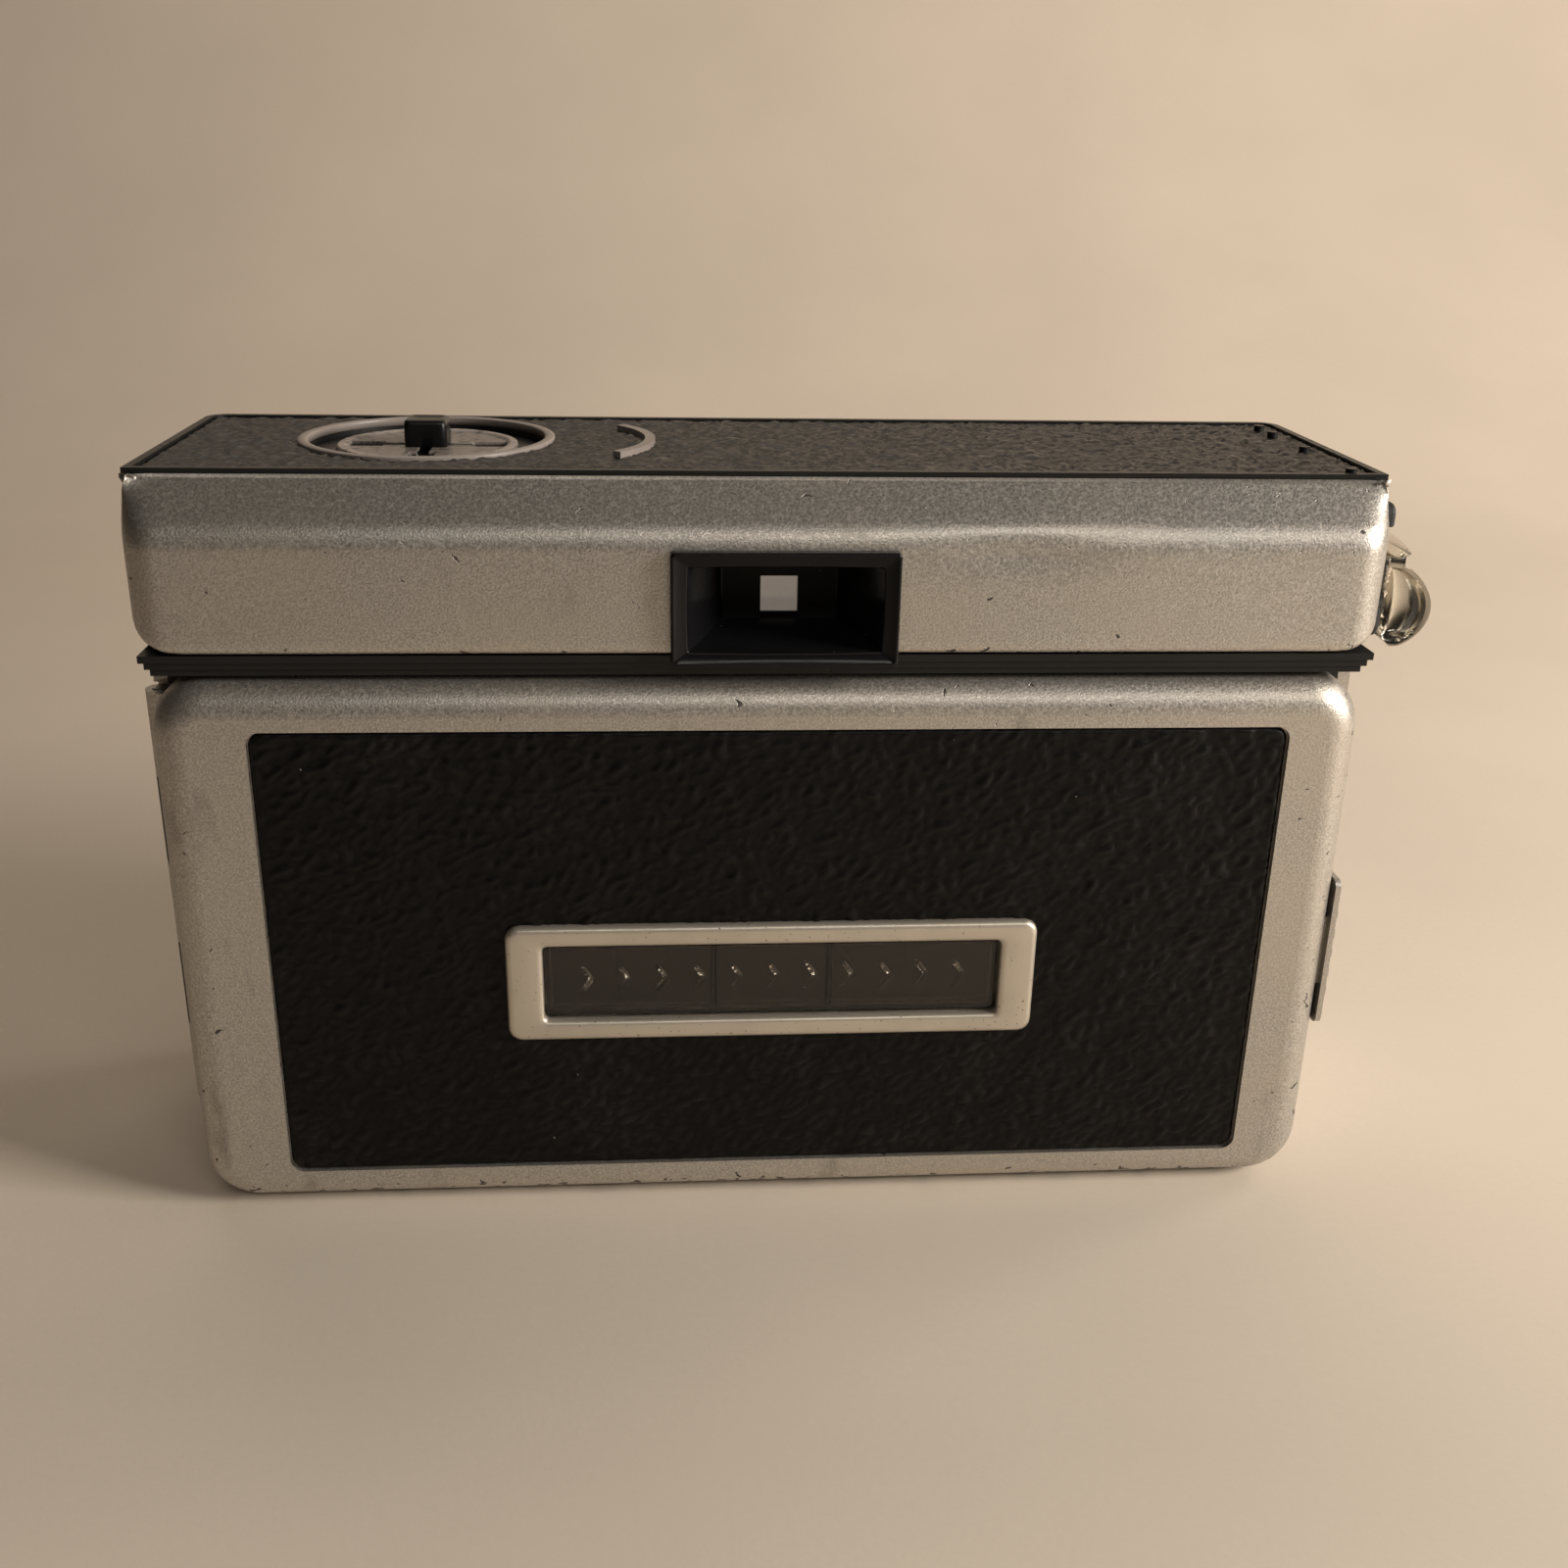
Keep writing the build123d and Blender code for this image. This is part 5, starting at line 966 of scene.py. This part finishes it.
def disc_points(centre, radius, top, post_half):
    """The socket's disc as height over (radius, angle): a raised rim, a shallow dish, four slots in a cross
    that go right through for the striker, and narrow shallow channels from the slots to the post."""
    rings = np.concatenate((
        np.linspace(post_half * 0.8, radius - 0.9, 64), radius - 0.9 + np.linspace(0.05, 0.9, 14),
    ))
    turn = np.linspace(0.0, 2 * pi, 360, endpoint=False)[None, :]
    r = rings[:, None] + 0 * turn
    x, y = r * np.cos(turn), r * np.sin(turn)
    out, side = np.maximum(np.abs(x), np.abs(y)), np.minimum(np.abs(x), np.abs(y))
    slot = (1 - smooth_step(side, 1.05, 1.18)) * smooth_step(out, 3.95, 4.10)
    slot = slot * (1 - smooth_step(out, 6.95, 7.1))
    link = (1 - smooth_step(side, 0.40, 0.58)) * (1 - smooth_step(out, 4.2, 4.35))
    # mask of the slots and the channels, which the finish paints black as painted shade
    recess = np.maximum(slot, link)
    rim = smooth_step(r, radius - 0.95, radius - 0.75) * (1 - smooth_step(r, radius - 0.28, radius))
    dish = 0.10 * (1 - smooth_step(r, radius - 1.2, radius - 0.9))
    z = top - dish - 0.75 * slot - 0.35 * link + 0.06 * rim - 0.35 * smooth_step(r, radius - 0.15, radius)
    points = np.stack((centre[0] + x, centre[1] + y, z), axis=-1)
    floor = slot > 0.98
    floor_beside = np.roll(floor, -1, axis=1)
    keep = ~(floor[:-1] & floor[1:] & floor_beside[:-1] & floor_beside[1:])
    return points, keep, recess, rim


def socket_grey(name, colour):
    """Pinkish-grey satin plastic, paler on the rim, painted black down in the slots and the channels as
    painted shade, with a little dirt.
    """
    made = Finish(name, Specular_IOR_Level=0.5)
    recess, rim = made.share("recess"), made.share("rim")
    dirt = made.noise(0.9, detail=5.0)
    clean = made.mix(rim, colour, tinted(colour, 1.7))
    soiled = made.mix(dirt.past(0.50, 0.14) * 0.75, clean, tinted(colour, 0.28))
    # painted shade: the walls of the slots and the floors of the channels are painted black
    made.set(Base_Color=made.mix(recess.past(0.15, 0.3), soiled, (0.004, 0.004, 0.004)))
    made.set(Roughness=(0.38 + (dirt - 0.5) * 0.3).held())
    made.bump(dirt, 0.02, 0.4)
    return made.material


def ring_profile():
    """The ring's section as (radius, height): upright walls under a half-round bead."""
    low, high = span("flash_ring")
    outer = half_size("flash_ring")[0]
    half = 0.45
    inner = outer - 2 * half
    bead = np.linspace(0.0, pi, 13)
    crest = [(inner + half - half * np.cos(a), high[2] - 0.32 + 0.14 * np.sin(a)) for a in bead]
    return [(inner, low[2])] + crest + [(outer, low[2])]


def post_points(centre, half):
    """The square post as rounded loops stacked upwards, drawn in at the top to a slightly hollow face."""
    low, high = span("flash_post")
    base, top = low[2], high[2]
    loops = []
    for height, inset, radius in (
        (base, 0.0, 0.5), (top - 0.45, 0.0, 0.55), (top - 0.15, 0.08, 0.55), (top - 0.03, 0.22, 0.5),
        (top, 0.42, 0.4), (top - 0.10, 0.62, 0.3), (top - 0.14, 0.9, 0.25),
    ):
        loop = rounded_loop(half - inset, half - inset, radius)
        x, y = centre[0] + loop[:, 0], centre[1] + loop[:, 1]
        loops.append(np.stack((x, y, np.full(len(loop), height)), axis=-1))
    return np.array(loops)


class CAMERA_OT_flash_socket(bpy.types.Operator):
    """Turning socket for a bulb cube: ring, turntable, slotted disc and post"""

    bl_idname = "camera_finish.flash_socket"
    bl_label = "Build flash socket"

    def execute(self, context):
        trim = context.scene.trim_settings
        grey = tuple(trim.disc_grey)
        centre = middle("flash_disc")
        top = span("flash_disc")[1][2]
        post_half = half_size("flash_post")[0]
        points, keep, recess, rim = disc_points(centre, half_size("flash_disc")[0], top, post_half)
        quads = quads_of(*points.shape[:2], wrap_columns=True, keep=keep)[:, ::-1]
        points, quads, used = loose_points_removed(points, quads)
        shares = {"recess": recess.ravel()[used], "rim": rim.ravel()[used]}
        mesh = mesh_of("socket_disc", points, quads)
        grey_disc = socket_grey("socket_grey", grey)
        piece = add_piece("socket_disc", mesh, "flash_disc", grey_disc, shares)
        thicken(piece, 0.12 * MM)

        points = spun(ring_profile(), middle("flash_ring"), "Z", 160)
        quads = quads_of(*points.shape[:2], wrap_rows=True, wrap_columns=True)[:, ::-1]
        ring_grey = grey_plastic("ring_grey", tinted(grey, 1.25), 0.35)
        mesh = mesh_of("socket_ring", points, quads)
        add_piece("socket_ring", mesh, "flash_ring", ring_grey)

        black = black_plastic("socket_black", tuple(trim.gloss_black), 0.28, 0.2, dust=0.03)
        points = post_points(centre, post_half)
        rows, columns = points.shape[:2]
        caps = [np.arange(columns)[::-1], (rows - 1) * columns + np.arange(columns)]
        mesh = mesh_of("socket_post", points, quads_of(rows, columns, wrap_columns=True), caps)
        add_piece("socket_post", mesh, "flash_post", black)
        finish_nodes(("flash_turntable",), black)
        finish_nodes(("flash_arc",), ring_grey)
        return {"FINISHED"}


# ---------------------------------------------------------------- lens and front


def coated_glass(name):
    """Lens glass with a faint blue-violet bloom."""
    made = Finish(name, Transmission_Weight=0.85, IOR=1.55, Base_Color=(0.75, 0.72, 0.88), Coat_Weight=1.0,
                  Coat_Roughness=0.02, Coat_Tint=(0.75, 0.72, 1.0))
    made.set(Roughness=(made.noise(4.0).past(0.5, 0.4) * 0.04 + 0.01).held())
    return made.material


class CAMERA_OT_lens(bpy.types.Operator):
    """Ribbed lens barrel, bright ring and taking lens"""

    bl_idname = "camera_finish.lens"
    bl_label = "Build lens front"

    def execute(self, context):
        trim = context.scene.trim_settings
        low, high = span("lens_barrel")
        nose = high[1]
        radius = half_size("lens_barrel")[0]
        axis = (0.0, middle("lens_barrel")[2])
        neck = radius - 1.4
        collar = BODY_HIGH[1] + 5.0

        def ribs(angle, profile):
            """Ribs round the nose: a flattened wave of 72 crests that fades at both ends of the band."""
            band = smooth_step(profile[:, 1], collar + 0.9, collar + 1.2)
            band = band * (1 - smooth_step(profile[:, 1], nose - 1.3, nose - 1.0))
            band = band * (profile[:, 0] > neck - 0.3)
            return -0.28 * band[:, None] * (0.5 + 0.5 * np.tanh(3 * np.sin(72 * angle)))

        steps = np.linspace(collar + 0.9, nose - 1.0, 10)
        bore = 5.4
        profile = [(bore, low[1] + 2.0), (bore, low[1] + 0.2), (radius - 5.0, low[1])]
        profile += [(radius, BODY_HIGH[1] - 2.0), (radius, collar - 0.4)]
        profile += [(radius - 0.3, collar), (neck + 0.1, collar + 0.35)]
        profile += [(neck, collar + 0.7)] + [(neck, y) for y in steps] + [(neck - 0.1, nose - 0.3)]
        profile += [(neck - 0.4, nose), (neck - 1.4, nose), (neck - 1.6, nose - 1.2)]
        cone = np.linspace(0.0, 1.0, 13)[1:]
        start, end = np.array((neck - 1.6, nose - 1.2)), np.array((bore, low[1] + 6.6))
        steps_in = np.stack((0.18 * (np.arange(12) % 2), 0 * cone), axis=-1)
        baffles = start + cone[:, None] * (end - start) + steps_in
        profile = np.concatenate((np.array(profile), baffles, [(bore, low[1] + 4.6)]))
        points = spun(profile, axis, "Y", 432, ribs)
        quads = quads_of(*points.shape[:2], wrap_rows=True, wrap_columns=True)
        black = black_plastic("barrel_black", (0.010, 0.010, 0.010), 0.34, 0.2)
        add_piece("barrel", mesh_of("barrel", points, quads), "lens_barrel", black)

        low, high = span("lens_ring")
        outer = half_size("lens_ring")[0]
        bead = np.linspace(-0.1, pi, 12)
        profile = [(outer - 1.7, low[1]), (outer, low[1]), (outer, low[1] + 0.9)]
        profile += [(outer - 0.55 + 0.5 * np.cos(a), high[1] - 0.5 + 0.5 * np.sin(a)) for a in bead]
        profile += [(outer - 1.7, high[1] - 1.0)]
        points = spun(profile, axis, "Y", 192)
        quads = quads_of(*points.shape[:2], wrap_rows=True, wrap_columns=True)
        chrome = bright_metal("ring_chrome", tuple(trim.chrome), 0.16, grain=0.3, pits=0.4)
        add_piece("front_ring", mesh_of("front_ring", points, quads), "lens_ring", chrome)
        finish_nodes(("taking_lens",), coated_glass("lens_glass"))
        return {"FINISHED"}


# ---------------------------------------------------------------- everything that keeps its own form


class CAMERA_OT_mechanism(bpy.types.Operator):
    """Finishes of the chassis, covers, gears, springs and screws"""

    bl_idname = "camera_finish.mechanism"
    bl_label = "Finish mechanism"

    def execute(self, context):
        trim = context.scene.trim_settings
        made = {
            "black_plastic": black_plastic("moulded_black", (0.011, 0.011, 0.011), 0.36, 0.22),
            "gloss_black": black_plastic("ledge_black", tuple(trim.gloss_black), 0.24, 0.2, dust=0.03),
            "silver_paint": silver_paint("inner_silver", context.scene.shell_settings, worn_front),
            "champagne": bright_metal("inner_champagne", tuple(trim.champagne), 0.38, grain=0.2),
            "leatherette": grey_plastic("inner_leather", (0.02, 0.02, 0.02), 0.6),
            "chrome": bright_metal("plated", tuple(trim.chrome), 0.2, grain=0.4, pits=0.3),
            "steel": bright_metal("steel", (0.52, 0.51, 0.50), 0.32, grain=0.25, stretch=(0.2, 1.0, 1.0)),
            "brass": bright_metal("brass", (0.72, 0.52, 0.25), 0.28, grain=0.3, stretch=(1.0, 0.2, 1.0)),
            "grey_plastic": grey_plastic("moulded_grey", tuple(trim.disc_grey)),
            "optical": clear_plastic("optical_clear", (0.9, 0.92, 0.9), 0.01),
            "foam": foam("seal_foam"),
        }
        done = {"door_shell", "front_shell", "viewfinder_tunnel", "eyepiece_lens", "objective_lens"}
        done |= {"flash_turntable", "flash_arc", "taking_lens"}
        for part in frame["record"]["subparts"]:
            if part["node"] not in done:
                finish_nodes((part["node"],), made[part["material_slot"]])
        return {"FINISHED"}


# ---------------------------------------------------------------- stage


CAMERA_PLACE = (-9.2, -147.1, 94.0)  # millimetres
CAMERA_LENS = 37.19
CAMERA_PITCH = 21.39  # degrees down
CAMERA_YAW = 4.525  # degrees to the right
CAMERA_ROLL = -1.162


def camera_axes():
    """The camera's right, up and backward directions from its yaw, pitch and roll."""
    pitch, yaw, roll = radians(CAMERA_PITCH), radians(CAMERA_YAW), radians(CAMERA_ROLL)
    forward = Vector((sin(yaw) * cos(pitch), cos(yaw) * cos(pitch), -sin(pitch)))
    level = Vector((cos(yaw), -sin(yaw), 0.0))
    down = forward.cross(level)
    right = cos(roll) * level + sin(roll) * down
    tipped = -sin(roll) * level + cos(roll) * down
    return right, -tipped, -forward


def sweep_points(width, near, far, rise):
    """A paper sweep: flat floor, a wide quarter circle and an upright backdrop, the same all across."""
    bend = 0.55 * far
    turn = np.linspace(0.0, pi / 2, 24)
    flat = np.linspace(near, far - bend, 12)[:-1]
    y = np.concatenate((flat, far - bend + bend * np.sin(turn), [far]))
    z = np.concatenate((0 * flat, bend * (1 - np.cos(turn)), [rise]))
    x = np.linspace(-width, width, 12)
    return np.stack((x[None, :] + 0 * y[:, None], y[:, None] + 0 * x, z[:, None] + 0 * x), axis=-1)


def paper(name, colour):
    """Warm matt paper with soft blotches and a fine tooth."""
    made = Finish(name, Specular_IOR_Level=0.25)
    blotch = made.noise(70.0, detail=3.0)
    tooth = made.noise(0.7, detail=3.0)
    base = made.mix(blotch.past(0.3, 0.5), tinted(colour, 0.95), tinted(colour, 1.05))
    made.set(Base_Color=made.mix(tooth * 0.25, base, tinted(colour, 0.80)))
    made.set(Roughness=(0.62 + (tooth - 0.5) * 0.2).held())
    made.bump(tooth, 0.05, 0.3)
    return made.material


def area_light(name, place, target, size, power, colour):
    """A soft square light that faces a target, both in millimetres."""
    data = bpy.data.lights.new(name, "AREA")
    data.shape = "RECTANGLE"
    data.size, data.size_y = size[0] * MM, size[1] * MM
    data.energy = power
    data.color = colour
    light = bpy.data.objects.new(name, data)
    bpy.context.scene.collection.objects.link(light)
    light.location = Vector(place) * MM
    light.rotation_mode = "QUATERNION"
    light.rotation_quaternion = (Vector(target) - Vector(place)).to_track_quat("-Z", "Y")


class CAMERA_OT_stage(bpy.types.Operator):
    """Paper sweep, soft lights and the camera"""

    bl_idname = "camera_finish.stage"
    bl_label = "Build stage"

    def execute(self, context):
        scene = context.scene
        stage = scene.stage_settings
        points = sweep_points(1500.0, -1500.0, 520.0, 900.0)
        mesh = mesh_of("sweep", points, quads_of(*points.shape[:2]))
        mesh.materials.append(paper("paper", tuple(stage.paper)))
        sweep = bpy.data.objects.new("sweep", mesh)
        scene.collection.objects.link(sweep)

        warm, warmer = (1.0, 0.93, 0.84), (1.0, 0.90, 0.79)
        for name, place, target, size, colour in (
            ("key", (400.0, -170.0, 200.0), (0.0, 0.0, 30.0), (150.0, 200.0), warm),
            ("ceiling", (-60.0, 330.0, 520.0), (-60.0, 60.0, 0.0), (500.0, 200.0), warmer),
            ("front", (90.0, -430.0, 370.0), (10.0, 0.0, 60.0), (300.0, 60.0), warm),
            ("backdrop", (420.0, 150.0, 320.0), (160.0, 520.0, 120.0), (260.0, 260.0), warmer),
        ):
            area_light(name, place, target, size, getattr(stage, name), colour)

        world = bpy.data.worlds.new("surround")
        world.use_nodes = True
        background = world.node_tree.nodes["Background"]
        background.inputs["Color"].default_value = (0.92, 0.80, 0.66, 1.0)
        background.inputs["Strength"].default_value = stage.surround
        scene.world = world
        scene.view_settings.view_transform = "Standard"

        data = bpy.data.cameras.new("photographer")
        data.lens = CAMERA_LENS
        data.sensor_width = 36.0
        data.clip_start, data.clip_end = 0.01, 20.0
        camera = bpy.data.objects.new("photographer", data)
        scene.collection.objects.link(camera)
        right, up, back = camera_axes()
        turn = Matrix((right, up, back)).transposed().to_4x4()
        camera.matrix_world = Matrix.Translation(Vector(CAMERA_PLACE) * MM) @ turn
        scene.camera = camera
        return {"FINISHED"}


class VIEW3D_PT_camera_finish(bpy.types.Panel):
    """Lists the sizes, the colours and the steps"""

    bl_idname = "VIEW3D_PT_camera_finish"
    bl_label = "Cartridge camera"
    bl_space_type = "VIEW_3D"
    bl_region_type = "UI"
    bl_category = "Camera"

    def draw(self, context):
        for name in SETTINGS:
            box = self.layout.box()
            group = getattr(context.scene, name)
            for key in group.__annotations__:
                box.prop(group, key)
        for operator in OPERATORS:
            self.layout.operator(operator.bl_idname)


SETTINGS = {
    "shell_settings": ShellSettings,
    "leather_settings": LeatherSettings,
    "trim_settings": TrimSettings,
    "stage_settings": StageSettings,
}
OPERATORS = (
    CAMERA_OT_shells,
    CAMERA_OT_leather,
    CAMERA_OT_viewfinder,
    CAMERA_OT_film_window,
    CAMERA_OT_wind_lever,
    CAMERA_OT_flash_socket,
    CAMERA_OT_lens,
    CAMERA_OT_mechanism,
    CAMERA_OT_stage,
)


def register():
    for name, group in SETTINGS.items():
        bpy.utils.register_class(group)
        setattr(bpy.types.Scene, name, bpy.props.PointerProperty(type=group))
    for made in (*OPERATORS, VIEW3D_PT_camera_finish):
        bpy.utils.register_class(made)


def unregister():
    for made in (VIEW3D_PT_camera_finish, *OPERATORS[::-1]):
        bpy.utils.unregister_class(made)
    for name, group in reversed(SETTINGS.items()):
        delattr(bpy.types.Scene, name)
        bpy.utils.unregister_class(group)


def corners(bounds):
    """Both corners of a box as plain lists."""
    return [list(corner) for corner in bounds]


def main():
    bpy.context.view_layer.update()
    register()
    for operator in OPERATORS:
        group, name = operator.bl_idname.split(".")
        getattr(getattr(bpy.ops, group), name)()


if __name__ == "__main__":
    main()
